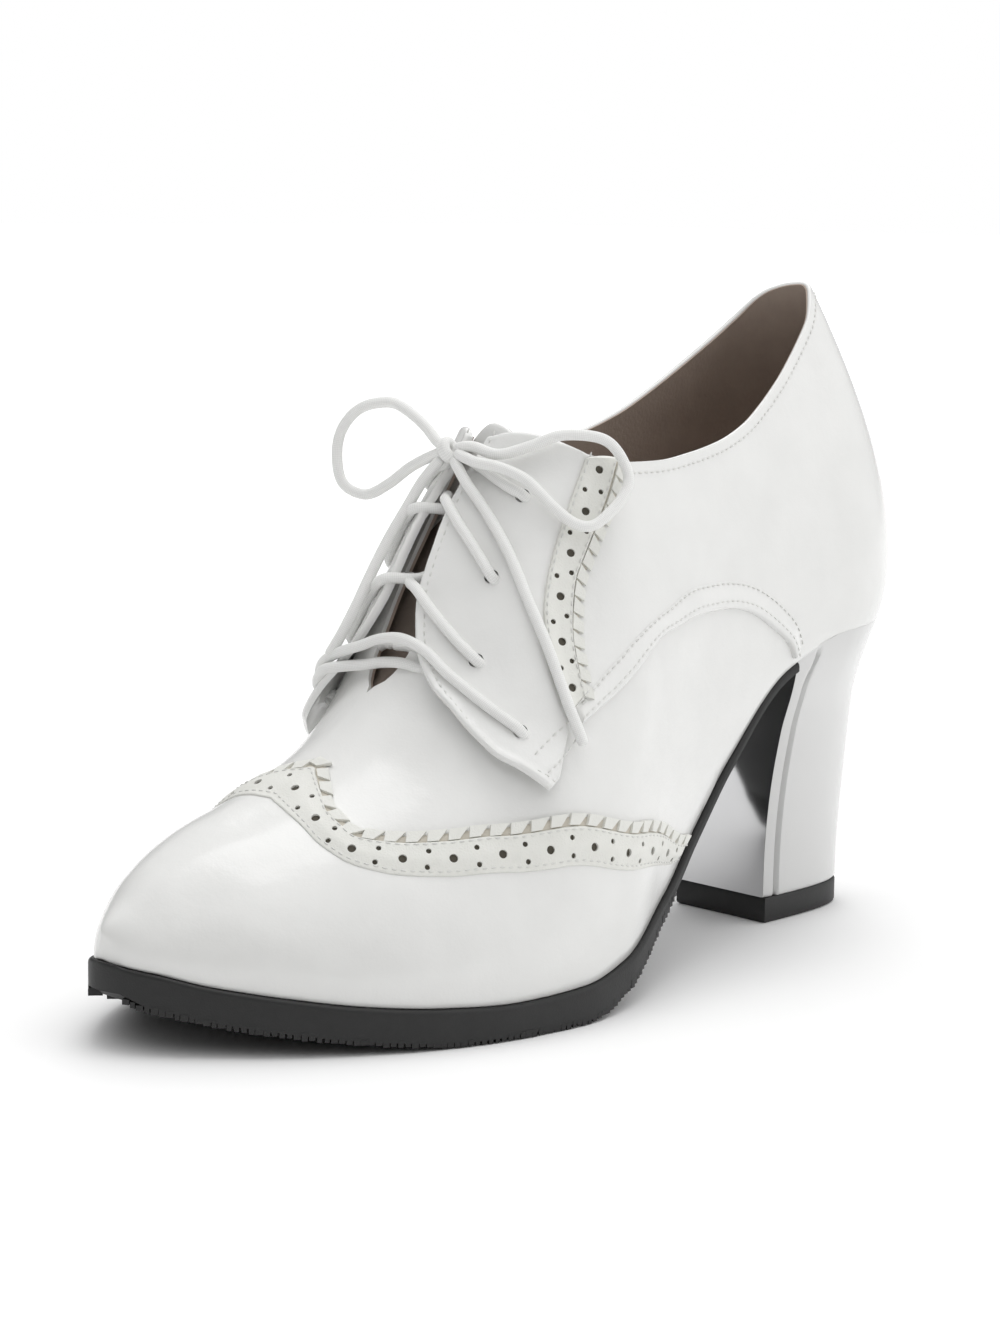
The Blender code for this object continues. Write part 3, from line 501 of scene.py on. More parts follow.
# Dark sheet at the bottom of the punched holes: painted shade, standing for the shade inside the holes
HOLE_SHADE_SHEET = plain_grained("Dark sheet painted as shade behind the holes", "#4A463E", "#5E594F", 0.0004, 0.9,
                          0.0002, 0.3)
# Bonded nylon thread, a little darker than the leather because of its own small shadows
THREAD = plain_grained("White bonded thread", "#D4D4D0", "#E0E0DD", 0.0003, 0.5, 0.0001, 0.2)
# Moulded styrene rubber: near black, dull, with a fine mould texture
RUBBER = plain_grained("Moulded black rubber", "#161616", "#202020", 0.0004, 0.52, 0.0002, 0.3)
# The heel's plastic core under sprayed white lacquer: smooth, high gloss
LACQUER = plain_grained("White lacquered heel cover", "#D2D2D1", "#D9D9D8", 0.004, 0.22, 0.0004,
                        0.03, coat=0.6)
# The breast of the heel carries a metallised film under the lacquer and mirrors what it faces
MIRROR = mirror_film()
LACE = braided_lace()
CARD = studio_table()


# Building pieces

def keep(name, mesh, finish, nodes=(), sharp=40.0):
    """Makes a riding piece from a finished mesh."""
    if finish is not None:
        mesh.materials.clear()
        mesh.materials.append(finish)
    mesh.shade_smooth()
    mesh.set_sharp_from_angle(angle=math.radians(sharp))
    piece = placed(name, mesh)
    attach(piece, "root")
    if nodes:
        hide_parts(*nodes)
    return piece


def mesh_of(name, points, faces):
    mesh = bpy.data.meshes.new(name)
    mesh.from_pydata(np.asarray(points).reshape(-1, 3).tolist(), [], faces)
    return mesh


def numbered(grid):
    """The numbers of a grid's points."""
    rows, columns = grid.shape[:2]
    return np.arange(rows * columns).reshape(rows, columns)


def quads(numbers):
    """The corners of the faces between the points of a grid."""
    return np.stack([numbers[:-1, :-1], numbers[:-1, 1:], numbers[1:, 1:], numbers[1:, :-1]],
                    -1).reshape(-1, 4)


def grid_mesh(name, points, wrap=False):
    """A mesh through a grid of points. A wrapped one joins its last row to its first."""
    numbers = numbered(points)
    if wrap:
        numbers = np.concatenate([numbers, numbers[:1]])
    return mesh_of(name, points, quads(numbers).tolist())


def end_rings(rings):
    """The numbers of the points in the first and in the last ring."""
    return numbered(rings)[[0, -1]].tolist()


def lofted(name, rings, lids):
    """A mesh through closed rings, with the faces that close its two ends."""
    numbers = numbered(rings)
    rolled = np.roll(numbers, -1, axis=1)
    faces = np.stack([numbers[:-1], rolled[:-1], rolled[1:], numbers[1:]], -1).reshape(-1, 4)
    return mesh_of(name, rings, faces.tolist() + lids)


def cleaned(mesh, join=0.00002, outwards_from=None):
    """Joins doubles, drops empty faces and turns an open sheet outwards."""
    work = bmesh.new()
    work.from_mesh(mesh)
    bmesh.ops.remove_doubles(work, verts=work.verts, dist=join)
    empty = [face for face in work.faces if face.calc_area() < 1e-13]
    bmesh.ops.delete(work, geom=empty, context="FACES")
    bmesh.ops.recalc_face_normals(work, faces=work.faces)
    if outwards_from is not None:
        centre = Vector(outwards_from)
        score = sum((face.calc_center_median() - centre).dot(face.normal) * face.calc_area()
                    for face in work.faces)
        if score < 0:
            bmesh.ops.reverse_faces(work, faces=work.faces)
    work.to_mesh(mesh)
    work.free()
    return mesh


def baked(name, mesh, modifiers):
    """The plain mesh of a mesh under modifiers, each given as a kind with its settings."""
    carrier = placed(name, mesh)
    for kind, settings in modifiers:
        modifier = carrier.modifiers.new(kind.lower(), kind)
        for key, value in settings.items():
            setattr(modifier, key, value)
    graph = bpy.context.evaluated_depsgraph_get()
    result = bpy.data.meshes.new_from_object(carrier.evaluated_get(graph))
    bpy.data.objects.remove(carrier, do_unlink=True)
    result.name = name
    return result


FOOT = (0.0, REST - 0.5 * LENGTH, 0.35 * HEEL_HEIGHT)


def near_edges(length, radius, count):
    """Shares of a length, with extra ones where its ends are rounded."""
    ends = np.array([0.0, 0.06, 0.18, 0.38, 0.65, 1.0, 1.5]) * radius / length
    ends = ends[ends < 0.45]
    inner = np.linspace(ends[-1], 1 - ends[-1], max(3, count))
    return np.concatenate([ends[:-1], inner, 1 - ends[-2::-1]])


def laid_shell(points, normals, top, bottom, radius):
    """A closed leather piece over a grid of places: its cut edges are rounded by radius."""
    across = np.linalg.norm(np.diff(points, axis=1), axis=2)
    down = np.linalg.norm(np.diff(points, axis=0), axis=2)
    from_left = np.concatenate([np.zeros((len(points), 1)), np.cumsum(across, 1)], 1)
    from_top = np.concatenate([np.zeros((1, points.shape[1])), np.cumsum(down, 0)], 0)
    edge = np.minimum(np.minimum(from_left, from_left[:, -1:] - from_left),
                      np.minimum(from_top, from_top[-1:] - from_top))
    share = np.clip(edge / radius, 0, 1)
    rounding = np.sqrt(np.maximum(0.0, 1 - (1 - share) ** 2))
    upper_side = points + normals * (bottom + (top - bottom) * rounding)[..., None]
    lower_side = points + normals * bottom[..., None]
    faces = quads(numbered(points))
    both = np.stack([upper_side, lower_side])
    mesh = mesh_of("shell", both, faces.tolist() + (faces[:, ::-1] + upper_side[..., 0].size).tolist())
    return cleaned(mesh, join=0.000002)


# Geometry Nodes trees for what repeats

def sized_tree(name, sizes):
    """A tree with named inputs for its sizes; gives back the tree and its input node."""
    tree = bpy.data.node_groups.new(name, "GeometryNodeTree")
    tree.interface.new_socket("Geometry", in_out="OUTPUT", socket_type="NodeSocketGeometry")
    tree.interface.new_socket("Geometry", in_out="INPUT", socket_type="NodeSocketGeometry")
    for label, value in sizes.items():
        kind = "NodeSocketInt" if isinstance(value, int) else "NodeSocketFloat"
        tree.interface.new_socket(label, in_out="INPUT", socket_type=kind).default_value = value
    tree.interface.new_socket("Finish", in_out="INPUT", socket_type="NodeSocketMaterial")
    return tree, tree.nodes.new("NodeGroupInput")


def close_tree(tree, entry, geometry):
    """Ends a tree with realised, smooth and finished geometry."""
    real = add(tree, "GeometryNodeRealizeInstances", None, {0: geometry})
    dressed = add(tree, "GeometryNodeSetMaterial", None,
                  {"Geometry": real.outputs[0], "Material": entry.outputs["Finish"]})
    add(tree, "NodeGroupOutput", None, {0: dressed.outputs[0]})
    return tree


def outward_of(tree):
    """The direction out of the leather that the guide carries."""
    return add(tree, "GeometryNodeInputNamedAttribute",
               {"data_type": "FLOAT_VECTOR", "Name": "outward"}).outputs[0]


def facing_out(tree):
    """Rotation with X along the guide line and Z out of the leather."""
    tangent = add(tree, "GeometryNodeInputTangent")
    turned = add(tree, "FunctionNodeAxesToRotation", {"primary_axis": "Z", "secondary_axis": "X"},
                 {0: outward_of(tree), 1: tangent.outputs[0]})
    return turned.outputs[0]


def even_points(tree, entry):
    """The guide line, with its points at an even pitch."""
    line = add(tree, "GeometryNodeMeshToCurve", None, {"Mesh": entry.outputs["Geometry"]})
    return add(tree, "GeometryNodeResampleCurve", {"mode": "LENGTH"},
               {"Curve": line.outputs[0], "Length": entry.outputs["Pitch"]}).outputs[0]


def close_with_row(tree, entry, points, piece, rotation, **more):
    """Ends a tree with a piece put on each point."""
    row = add(tree, "GeometryNodeInstanceOnPoints", None,
              {"Points": points, "Instance": piece, "Rotation": rotation, **more})
    return close_tree(tree, entry, row.outputs[0])


def stitch_tree():
    """Thread stitches at an even pitch along a seam, each slightly out of line."""
    tree, entry = sized_tree("stitch_row", {"Pitch": 0.0019, "Stitch": 0.0013, "Thread": 0.00042,
                                            "Wander": 3.0, "Seed": 4})
    ball = add(tree, "GeometryNodeMeshUVSphere", {"Segments": 8, "Rings": 5, "Radius": 0.5})
    size = add(tree, "ShaderNodeCombineXYZ", None,
               {0: entry.outputs["Stitch"], 1: entry.outputs["Thread"],
                2: entry.outputs["Thread"]})
    stitch = add(tree, "GeometryNodeTransform", None,
                 {"Geometry": ball.outputs["Mesh"], "Scale": size.outputs[0]})
    wander = entry.outputs["Wander"]
    chance = add(tree, "FunctionNodeRandomValue", {"data_type": "FLOAT"},
                 {"Min": calculate(tree, "MULTIPLY", wander, -1.0), "Max": wander,
                  "Seed": entry.outputs["Seed"]})
    twist = add(tree, "ShaderNodeCombineXYZ", None,
                {2: calculate(tree, "RADIANS", chance.outputs[1])})
    turned = add(tree, "FunctionNodeRotateRotation", {"rotation_space": "LOCAL"},
                 {0: facing_out(tree), 1: twist.outputs[0]})
    return close_with_row(tree, entry, even_points(tree, entry), stitch.outputs[0],
                          turned.outputs[0])


def pinked_tree():
    """Slanted saw teeth of leather along an edge, cut at an even pitch."""
    tree, entry = sized_tree("pinked_edge", {"Pitch": 0.0043, "Foot": 0.0040, "Tip": 0.0024,
                                             "Height": 0.0024, "Slant": 0.0014,
                                             "Thickness": 0.0008})
    outline = add(tree, "GeometryNodeCurvePrimitiveQuadrilateral", {"mode": "TRAPEZOID"},
                  {"Bottom Width": entry.outputs["Foot"], "Top Width": entry.outputs["Tip"],
                   "Height": entry.outputs["Height"], "Offset": entry.outputs["Slant"]})
    face = add(tree, "GeometryNodeFillCurve", {"mode": "NGONS"}, {0: outline.outputs[0]})
    raised = add(tree, "GeometryNodeExtrudeMesh", {"mode": "FACES"},
                 {"Mesh": face.outputs[0], "Offset Scale": entry.outputs["Thickness"]})
    under = add(tree, "GeometryNodeFlipFaces", None, {0: face.outputs[0]})
    both = add(tree, "GeometryNodeJoinGeometry", None, {0: raised.outputs[0]})
    tree.links.new(under.outputs[0], both.inputs[0])
    tooth = add(tree, "GeometryNodeMergeByDistance", {"Distance": 0.000002}, {0: both.outputs[0]})
    return close_with_row(tree, entry, even_points(tree, entry), tooth.outputs[0],
                          facing_out(tree))


def punch_tree():
    """Round punches standing on the leather, one at each point, of the point's own size."""
    tree, entry = sized_tree("punches", {"Depth": 0.004, "Sides": 14})
    punch = add(tree, "GeometryNodeMeshCylinder", {"Radius": 1.0, "Depth": 1.0},
                {"Vertices": entry.outputs["Sides"]})
    radius = add(tree, "GeometryNodeInputNamedAttribute", {"data_type": "FLOAT", "Name": "hole"})
    size = add(tree, "ShaderNodeCombineXYZ", None,
               {0: radius.outputs[0], 1: radius.outputs[0], 2: entry.outputs["Depth"]})
    turned = add(tree, "FunctionNodeAlignRotationToVector", {"axis": "Z"},
                 {"Vector": outward_of(tree)})
    return close_with_row(tree, entry, entry.outputs["Geometry"], punch.outputs["Mesh"],
                          turned.outputs[0], Scale=size.outputs[0])


def binding_tree():
    """A folded leather edge that follows a line, oval in section."""
    tree, entry = sized_tree("folded_edge", {"Width": 0.0010, "Thickness": 0.0012, "Sides": 12})
    line = add(tree, "GeometryNodeMeshToCurve", None, {"Mesh": entry.outputs["Geometry"]})
    held = add(tree, "GeometryNodeSetCurveNormal", {"mode": "FREE"},
               {"Curve": line.outputs[0], "Normal": outward_of(tree)})
    ring = add(tree, "GeometryNodeCurvePrimitiveCircle", {"mode": "RADIUS", "Radius": 0.5},
               {"Resolution": entry.outputs["Sides"]})
    size = add(tree, "ShaderNodeCombineXYZ", {2: 1.0},
               {0: entry.outputs["Thickness"], 1: entry.outputs["Width"]})
    oval = add(tree, "GeometryNodeTransform", None,
               {"Geometry": ring.outputs[0], "Scale": size.outputs[0]})
    swept = add(tree, "GeometryNodeCurveToMesh", {"Fill Caps": True},
                {"Curve": held.outputs[0], "Profile Curve": oval.outputs[0]})
    return close_tree(tree, entry, swept.outputs[0])


def tread_tree():
    """Small rubber lugs along the edge of the tread, no two quite alike."""
    tree, entry = sized_tree("tread_lugs", {"Pitch": 0.0015, "Lug": 0.0013, "Reach": 0.0030,
                                            "Depth": 0.0010, "Seed": 7})
    size = add(tree, "ShaderNodeCombineXYZ", None,
               {0: entry.outputs["Lug"], 1: entry.outputs["Reach"], 2: entry.outputs["Depth"]})
    block = add(tree, "GeometryNodeMeshCube", None, {"Size": size.outputs[0]})
    chance = add(tree, "FunctionNodeRandomValue",
                 {"data_type": "FLOAT_VECTOR", "Min": (0.7, 0.90, 0.55), "Max": (1.3, 1.0, 1.0)},
                 {"Seed": entry.outputs["Seed"]})
    return close_with_row(tree, entry, even_points(tree, entry), block.outputs["Mesh"],
                          facing_out(tree), Scale=chance.outputs[0])


STITCHES = stitch_tree()
PINKED = pinked_tree()
PUNCHES = punch_tree()
FOLDED = binding_tree()
TREAD = tread_tree()


def guide(points, outwards, holes=None):
    """A guide line, or loose points where each has a hole, that carries its outward direction."""
    lines = [] if holes is not None else [(i, i + 1) for i in range(len(points) - 1)]
    mesh = bpy.data.meshes.new("guide")
    mesh.from_pydata(np.asarray(points).tolist(), lines, [])
    outward = mesh.attributes.new("outward", "FLOAT_VECTOR", "POINT")
    outward.data.foreach_set("vector", np.asarray(outwards, float).ravel())
    if holes is not None:
        hole = mesh.attributes.new("hole", "FLOAT", "POINT")
        hole.data.foreach_set("value", np.asarray(holes, float))
    return mesh


def grown(name, tree, lines, finish, sizes=None):
    """The plain mesh that a tree grows along one or more guides."""
    parts = []
    for line in lines:
        carrier = placed(name, line)
        modifier = carrier.modifiers.new("grow", "NODES")
        modifier.node_group = tree
        sockets = {item.name: item.identifier for item in tree.interface.items_tree
                   if item.in_out == "INPUT"}
        for label, value in (sizes or {}).items():
            modifier[sockets[label]] = value
        modifier[sockets["Finish"]] = finish
        graph = bpy.context.evaluated_depsgraph_get()
        parts.append(bpy.data.meshes.new_from_object(carrier.evaluated_get(graph)))
        carrier.modifiers.remove(modifier)
        bpy.data.objects.remove(carrier, do_unlink=True)
    work = bmesh.new()
    for part in parts:
        work.from_mesh(part)
    result = bpy.data.meshes.new(name)
    work.to_mesh(result)
    work.free()
    result.materials.append(finish)
    return result


def seam(along, up, side, out, turn=0.0, step=0.0011):
    """A guide line on the leather through places that are close together."""
    points, normals = surface(along, up, side, turn)
    points = points + normals * np.asarray(out, float)[..., None]
    lengths = run_lengths(points)
    places = np.arange(0.0, lengths[-1], step)
    return guide(respaced(points, lengths, places), unit(respaced(normals, lengths, places)))


def stitches(name, lines):
    keep(name, grown(name, STITCHES, lines, THREAD), None)


# Camera: fitted to the photograph, 1000 x 1333 pixels

PICTURE_HEIGHT = 1333
AZIMUTH, ELEVATION, ROLL = math.radians(44.84), math.radians(9.14), math.radians(0.75)
DISTANCE = 0.6681
FOCAL_PIXELS = 2998.0
TARGET = Vector((-0.00596, -0.0879, 0.0669))
# Directions as the camera sees them, over level ground
RIGHT = Vector((math.cos(AZIMUTH), math.sin(AZIMUTH), 0.0))
AWAY = Vector((-math.sin(AZIMUTH), math.cos(AZIMUTH), 0.0))
UPWARDS = Vector((0.0, 0.0, 1.0))


def camera():
    back = Vector((math.sin(AZIMUTH) * math.cos(ELEVATION),
                   -math.cos(AZIMUTH) * math.cos(ELEVATION), math.sin(ELEVATION)))
    above = back.cross(RIGHT)
    rolled_right = RIGHT * math.cos(ROLL) + above * math.sin(ROLL)
    rolled_above = above * math.cos(ROLL) - RIGHT * math.sin(ROLL)
    lens = bpy.data.cameras.new("camera")
    lens.sensor_width = 36.0
    lens.lens = FOCAL_PIXELS / PICTURE_HEIGHT * lens.sensor_width
    lens.clip_start = 0.01
    made = placed("camera", lens)
    basis = Matrix((rolled_right, rolled_above, back)).transposed().to_4x4()
    made.matrix_world = Matrix.Translation(TARGET + back * DISTANCE) @ basis
    bpy.context.scene.camera = made


camera()


# Lace

RIB_LENGTH, RIBS_ROUND = 0.0008, 10.0      # of the lace's braid


def tube(name, points, diameter, sides=12, ring=0.0006):
    """A round braid along a path: rings that don't twist, closed round ends and a braid map."""
    lengths = run_lengths(points)
    count = max(4, int(lengths[-1] / ring))
    places = np.linspace(0, lengths[-1], count)
    line = respaced(points, lengths, places)
    for _ in range(2):
        line[1:-1] = line[1:-1] * 0.5 + (line[:-2] + line[2:]) * 0.25
    tangents = unit(np.gradient(line, axis=0))
    normal = unit(np.cross(tangents[0], (0.13, 0.21, 0.97)))
    normals = []
    for tangent in tangents:
        normal = unit(normal - tangent * np.dot(normal, tangent))
        normals.append(normal)
    normals = np.array(normals)
    others = np.cross(tangents, normals)
    angles = np.linspace(0, 2 * math.pi, sides, endpoint=False)
    # The ends close over half a diameter
    inset = np.minimum(places, places[-1] - places) / (diameter * 0.45)
    width = np.sqrt(np.maximum(0.0, 1 - (1 - np.clip(inset, 0, 1)) ** 2))
    width = np.maximum(width, 0.02) * diameter / 2
    rings = (line[:, None] + normals[:, None] * (np.cos(angles)[None, :, None] * width[:, None, None])
             + others[:, None] * (np.sin(angles)[None, :, None] * width[:, None, None]))
    first, last = end_rings(rings)
    mesh = lofted(name, rings, [first[::-1], last])
    layer = mesh.uv_layers.new(name="braid")
    along = places / RIB_LENGTH
    step = RIBS_ROUND / sides
    corners = []
    for here, further in zip(along[:-1], along[1:]):
        for i in range(sides):
            corners += [(here, i * step), (here, (i + 1) * step), (further, (i + 1) * step),
                        (further, i * step)]
    corners += [(0.0, 0.0)] * (2 * sides)
    layer.data.foreach_set("uv", np.array(corners).ravel())
    return mesh, line


def lace(name, points, nodes):
    mesh, line = tube(name, points, LACE_DIAMETER)
    return keep(name, mesh, LACE, nodes, sharp=60.0), line


FACING_LIFT = 0.0028     # how far the front edge of a facing stands off the vamp


def facing_edge(side):
    """The front edge of a facing, and how much each of its points lifts."""
    down = np.linspace(0.0, 1.0, 60)
    along, up = patch(FACING, down, 0.0)
    weight = soft_step(down / 0.15) * (1.0 - 0.35 * soft_step((down - 0.85) / 0.15))
    return skin(along, up, np.full(60, side)), weight


FACING_EDGES = {side: facing_edge(side) for side in (1, -1)}


def facing_lift(points, side):
    """How far a facing stands off the leather under it at the given points."""
    edge, weight = FACING_EDGES[side]
    distance = np.linalg.norm(np.asarray(points)[..., None, :] - edge, axis=-1)
    nearest = distance.argmin(-1)
    close = np.take_along_axis(distance, nearest[..., None], -1)[..., 0]
    return FACING_LIFT * weight[nearest] * np.exp(-(close / 0.0075) ** 2)


def over_facing(along, up, side, extra=0.0):
    """The middle of a strand that lies on a facing."""
    points, normals = surface(along, up, side)
    height = GAP + OVERLAY + LACE_DIAMETER / 2 + facing_lift(points, side) + extra
    return points + normals * np.asarray(height)[..., None]


# Where each strand runs over its facing: from its eyelet to the edge of the gap (along, up)
LATERAL_RUNS = (
    ((0.653, 0.555), (0.665, 0.660), (0.671, 0.777), (0.670, 0.850), (0.671, 0.925)),
    ((0.655, 0.734), (0.656, 0.802), (0.653, 0.880), (0.648, 0.940)),
    ((0.621, 0.787), (0.618, 0.842), (0.612, 0.915), (0.606, 0.962)),
    ((0.578, 0.796), (0.582, 0.835), (0.584, 0.900), (0.583, 0.962)),
)
MEDIAL_RUNS = (
    ((0.653, 0.555), (0.661, 0.600), (0.669, 0.650), (0.678, 0.720), (0.684, 0.800)),
    ((0.655, 0.734), (0.650, 0.785), (0.645, 0.850), (0.645, 0.925)),
    ((0.621, 0.787), (0.615, 0.832), (0.610, 0.880), (0.610, 0.935)),
    ((0.578, 0.796), (0.582, 0.840), (0.584, 0.900), (0.586, 0.950)),
)
RUNS = {1: LATERAL_RUNS, -1: MEDIAL_RUNS}
# How the lowest strands go on over the gap and under the other facing: along, up, side, out
LOWEST_CROSSING = {
    1: ((0.674, 1.000, 1, 0.0040), (0.678, 0.930, -1, 0.0046), (0.678, 0.860, -1, 0.0052),
        (0.674, 0.770, -1, 0.0058), (0.667, 0.690, -1, 0.0056), (0.658, 0.610, -1, 0.0046),
        (0.653, 0.562, -1, 0.0020), (0.653, 0.580, -1, -0.0014), (0.655, 0.660, -1, -0.0016)),
    -1: ((0.686, 0.950, -1, 0.0018), (0.684, 1.000, 1, 0.0012), (0.681, 0.940, 1, 0.0010),
         (0.677, 0.870, 1, 0.0002), (0.667, 0.805, 1, -0.0016)),
}


def laced_run(side):
    """One half of the lace: up through an eyelet, over its facing, under the other, and so on."""
    points = [skin(0.673, 1.0, 1, -0.0002), skin(0.671, 0.9, side, -0.0010),
              skin(0.664, 0.66, side, -0.0012)]
    for number in range(4):
        here = RUNS[side][number]
        hole_along, hole_up = here[0]
        # Up through the eyelet, then over the facing
        points.append(skin(hole_along, hole_up - 0.012, side, -0.0010))
        points.append(over_facing(hole_along, hole_up, side, -0.0006))
        for place in here[1:]:
            points.append(over_facing(*place, side))
        if number == 3:
            break
        if number == 0:
            points += [skin(*place) for place in LOWEST_CROSSING[side]]
            side = -side
            continue
        # Across the gap, under the edge of the other facing to its next eyelet
        last_along = here[-1][0]
        next_along, next_up = EYELETS[number + 1]
        level = 0.0021 if side > 0 else 0.0006
        points.append(skin(last_along - 0.003, 1.0, side, level))
        points.append(skin(last_along - 0.007, 0.955, -side, 0.0))
        points.append(skin(next_along + (last_along - 0.006 - next_along) * 0.6,
                           (0.93 + next_up) / 2, -side, -0.0016))
        side = -side
    points.append(skin(*KNOT) * 0.75 + points[-1] * 0.25)
    return smooth_path(points, 10)


lace("lace_run_from_lateral", laced_run(1), ("lace_crossing_1", "lace_crossing_3",
                                             "lace_lower_bar"))
lace("lace_run_from_medial", laced_run(-1), ("lace_crossing_2", "lace_crossing_4"))


def bow_row(rows):
    return skin(*(np.array(column, float) for column in zip(*rows)))


KNOT_MIDDLE = skin(*KNOT)


def knot():
    """Two turns of lace drawn tight round the crossing."""
    turn = np.linspace(0, 2 * math.pi * 2.1, 90)
    x = -0.0014 + 0.0028 * turn / turn[-1] + 0.0003 * np.sin(turn * 0.5)
    y = 0.0014 * np.cos(turn)
    z = 0.0019 * np.sin(turn)
    tilt = math.radians(20)
    points = np.stack([x * math.cos(tilt) - z * math.sin(tilt), y,
                       z * math.cos(tilt) + x * math.sin(tilt)], -1) + KNOT_MIDDLE
    lace("lace_knot_wraps", points, ("lace_knot",))


knot()
BOW = {
    "lace_loop_lateral": (bow_row(LOOP_LATERAL), "object"),
    "lace_loop_medial": (KNOT_MIDDLE + np.array(LOOP_MEDIAL), "object"),
    "lace_end_lateral": (bow_row(END_LATERAL), "bare"),
    "lace_end_medial": (bow_row(END_MEDIAL), "bare"),
}
for bow_name, (bow_points, bow_end) in BOW.items():
    start = KNOT_MIDDLE + (bow_points[0] - KNOT_MIDDLE) * 0.25
    ends = [KNOT_MIDDLE + (bow_points[-1] - KNOT_MIDDLE) * 0.25] if bow_end == "object" else []
    bow_path = smooth_path([start] + list(bow_points) + ends, 12)
    bow_piece, bow_line = lace(bow_name + "_braid", bow_path, (bow_name,))


# Upper and lining

ROOTS = np.linspace(0.0, math.sqrt(1 - HEEL_CENTRE), 190)
TURNS = np.linspace(0.0, 1.0, 26)[1:]


def way_round():
    """Ribs from the toe along the lateral side, round the heel and back on the medial side."""
    sides = 1 - ROOTS ** 2
    along = np.concatenate([sides, np.full(2 * len(TURNS) - 1, HEEL_CENTRE), sides[::-1]])
    side = np.concatenate([np.ones(len(sides) + len(TURNS)),
                           -np.ones(len(TURNS) - 1 + len(sides))])
    turn = np.concatenate([np.zeros(len(sides)), TURNS, TURNS[-2::-1], np.zeros(len(sides))])
    return along, side, turn


WAY_ALONG, WAY_SIDE, WAY_TURN = way_round()
WAY_END = collar_end(WAY_ALONG, WAY_SIDE, WAY_TURN)


def wall_points(out, top_inset, levels, margin):
    """A grid over the whole wall: from the feather line to the collar."""
    shares = np.linspace(0, 1, levels) ** 0.9
    top = WAY_END - np.where(WAY_END < 0.999, top_inset, 0.0)
    up = top[:, None] * shares[None, :]
    points = skin(WAY_ALONG[:, None], up, WAY_SIDE[:, None], out, WAY_TURN[:, None])
    if margin:
        base, normals = surface(WAY_ALONG, 0.0, WAY_SIDE, WAY_TURN)
        turned_in = unit(normals * (1, 1, 0)) * margin
        first = base + normals * out - turned_in - np.array((0, 0, 0.0003))
        second = base + normals * out - turned_in * 0.12 - np.array((0, 0, 0.0003))
        points = np.concatenate([first[:, None], second[:, None], points], 1)
    return points


def wall_piece(name, out, thickness, top_inset, levels, margin, finish):
    mesh = cleaned(grid_mesh(name, wall_points(out, top_inset, levels, margin), wrap=True),
                   join=0.00004, outwards_from=FOOT)
    mesh = baked(name, mesh, [("SOLIDIFY", {"thickness": thickness, "offset": -1.0,
                                            "use_even_offset": False, "use_rim": True})])
    return keep(name, mesh, finish, ("upper",), sharp=50.0)


LEATHER, LINING_DEPTH = 0.0008, 0.00085      # thickness, and how deep the lining starts
wall_piece("upper_leather", 0.0, LEATHER, 0.0, 54, 0.003, PATENT)
wall_piece("upper_lining", -LINING_DEPTH, WALL - LINING_DEPTH, 0.0005, 40, 0.0, LINING)


def collar_line(below, out):
    """A guide along the collar from the lateral facing round the heel to the medial one."""
    opened = (WAY_TURN > 0) | (WAY_ALONG < 0.560)
    along, side, turn, end = (each[opened] for each in (WAY_ALONG, WAY_SIDE, WAY_TURN, WAY_END))
    points = ribs(along, side, turn)
    size = np.linalg.norm(on_ribs(points, end) - on_ribs(points, end - 0.05), axis=-1) / 0.05
    return seam(along, end - below / size, side, out, turn)


keep("collar_binding", grown("collar_binding", FOLDED, [collar_line(0.0003, -0.0006)], PATENT),
     None, ("upper",), sharp=60.0)
stitches("collar_stitches", [collar_line(0.0024, 0.0001)])


# Facings, strips and bands

SIDES = ((1, "lateral"), (-1, "medial"))
HOLE, SMALL_HOLE = 0.00092, 0.00058      # radii of the brogue's punches


def eyelet_punches(side):
    along, up = (np.array(column) for column in zip(*EYELETS))
    points, normals = surface(along, up, np.full(4, side))
    lift = facing_lift(points, side) + GAP
    return guide(points + normals * lift[:, None], normals, [EYELET_HOLE / 2] * 4)


def with_holes(name, mesh, punches):
    """Cuts punched holes through a piece."""
    cutter = placed(name + "_punches", grown(name + "_cut", PUNCHES, [punches], HOLE_SHADE_SHEET))
    result = baked(name, mesh, [("BOOLEAN", {"operation": "DIFFERENCE", "solver": "EXACT",
                                             "object": cutter})])
    bpy.data.objects.remove(cutter, do_unlink=True)
    return result


# How far the facing's back edge runs on under the brogue strip, at each row: along and up
UNDER_STRIP = np.array((
    (-0.012, -0.030), (-0.012, -0.036), (-0.014, -0.034), (-0.014, -0.030), (-0.014, -0.024),
    (-0.013, -0.018), (-0.013, -0.010), (-0.012, -0.004), (-0.010, 0.000), (-0.004, 0.000),
    (0.000, 0.000), (0.000, 0.000),
))
# Rows of stitches that cross the strip's end and the facing's tip: along, up
TIP_STITCHES = (
    ((0.590, 0.470), (0.608, 0.473), (0.619, 0.473), (0.635, 0.486), (0.650, 0.497)),
    ((0.600, 0.448), (0.611, 0.440), (0.618, 0.437), (0.632, 0.440), (0.648, 0.452)),
)


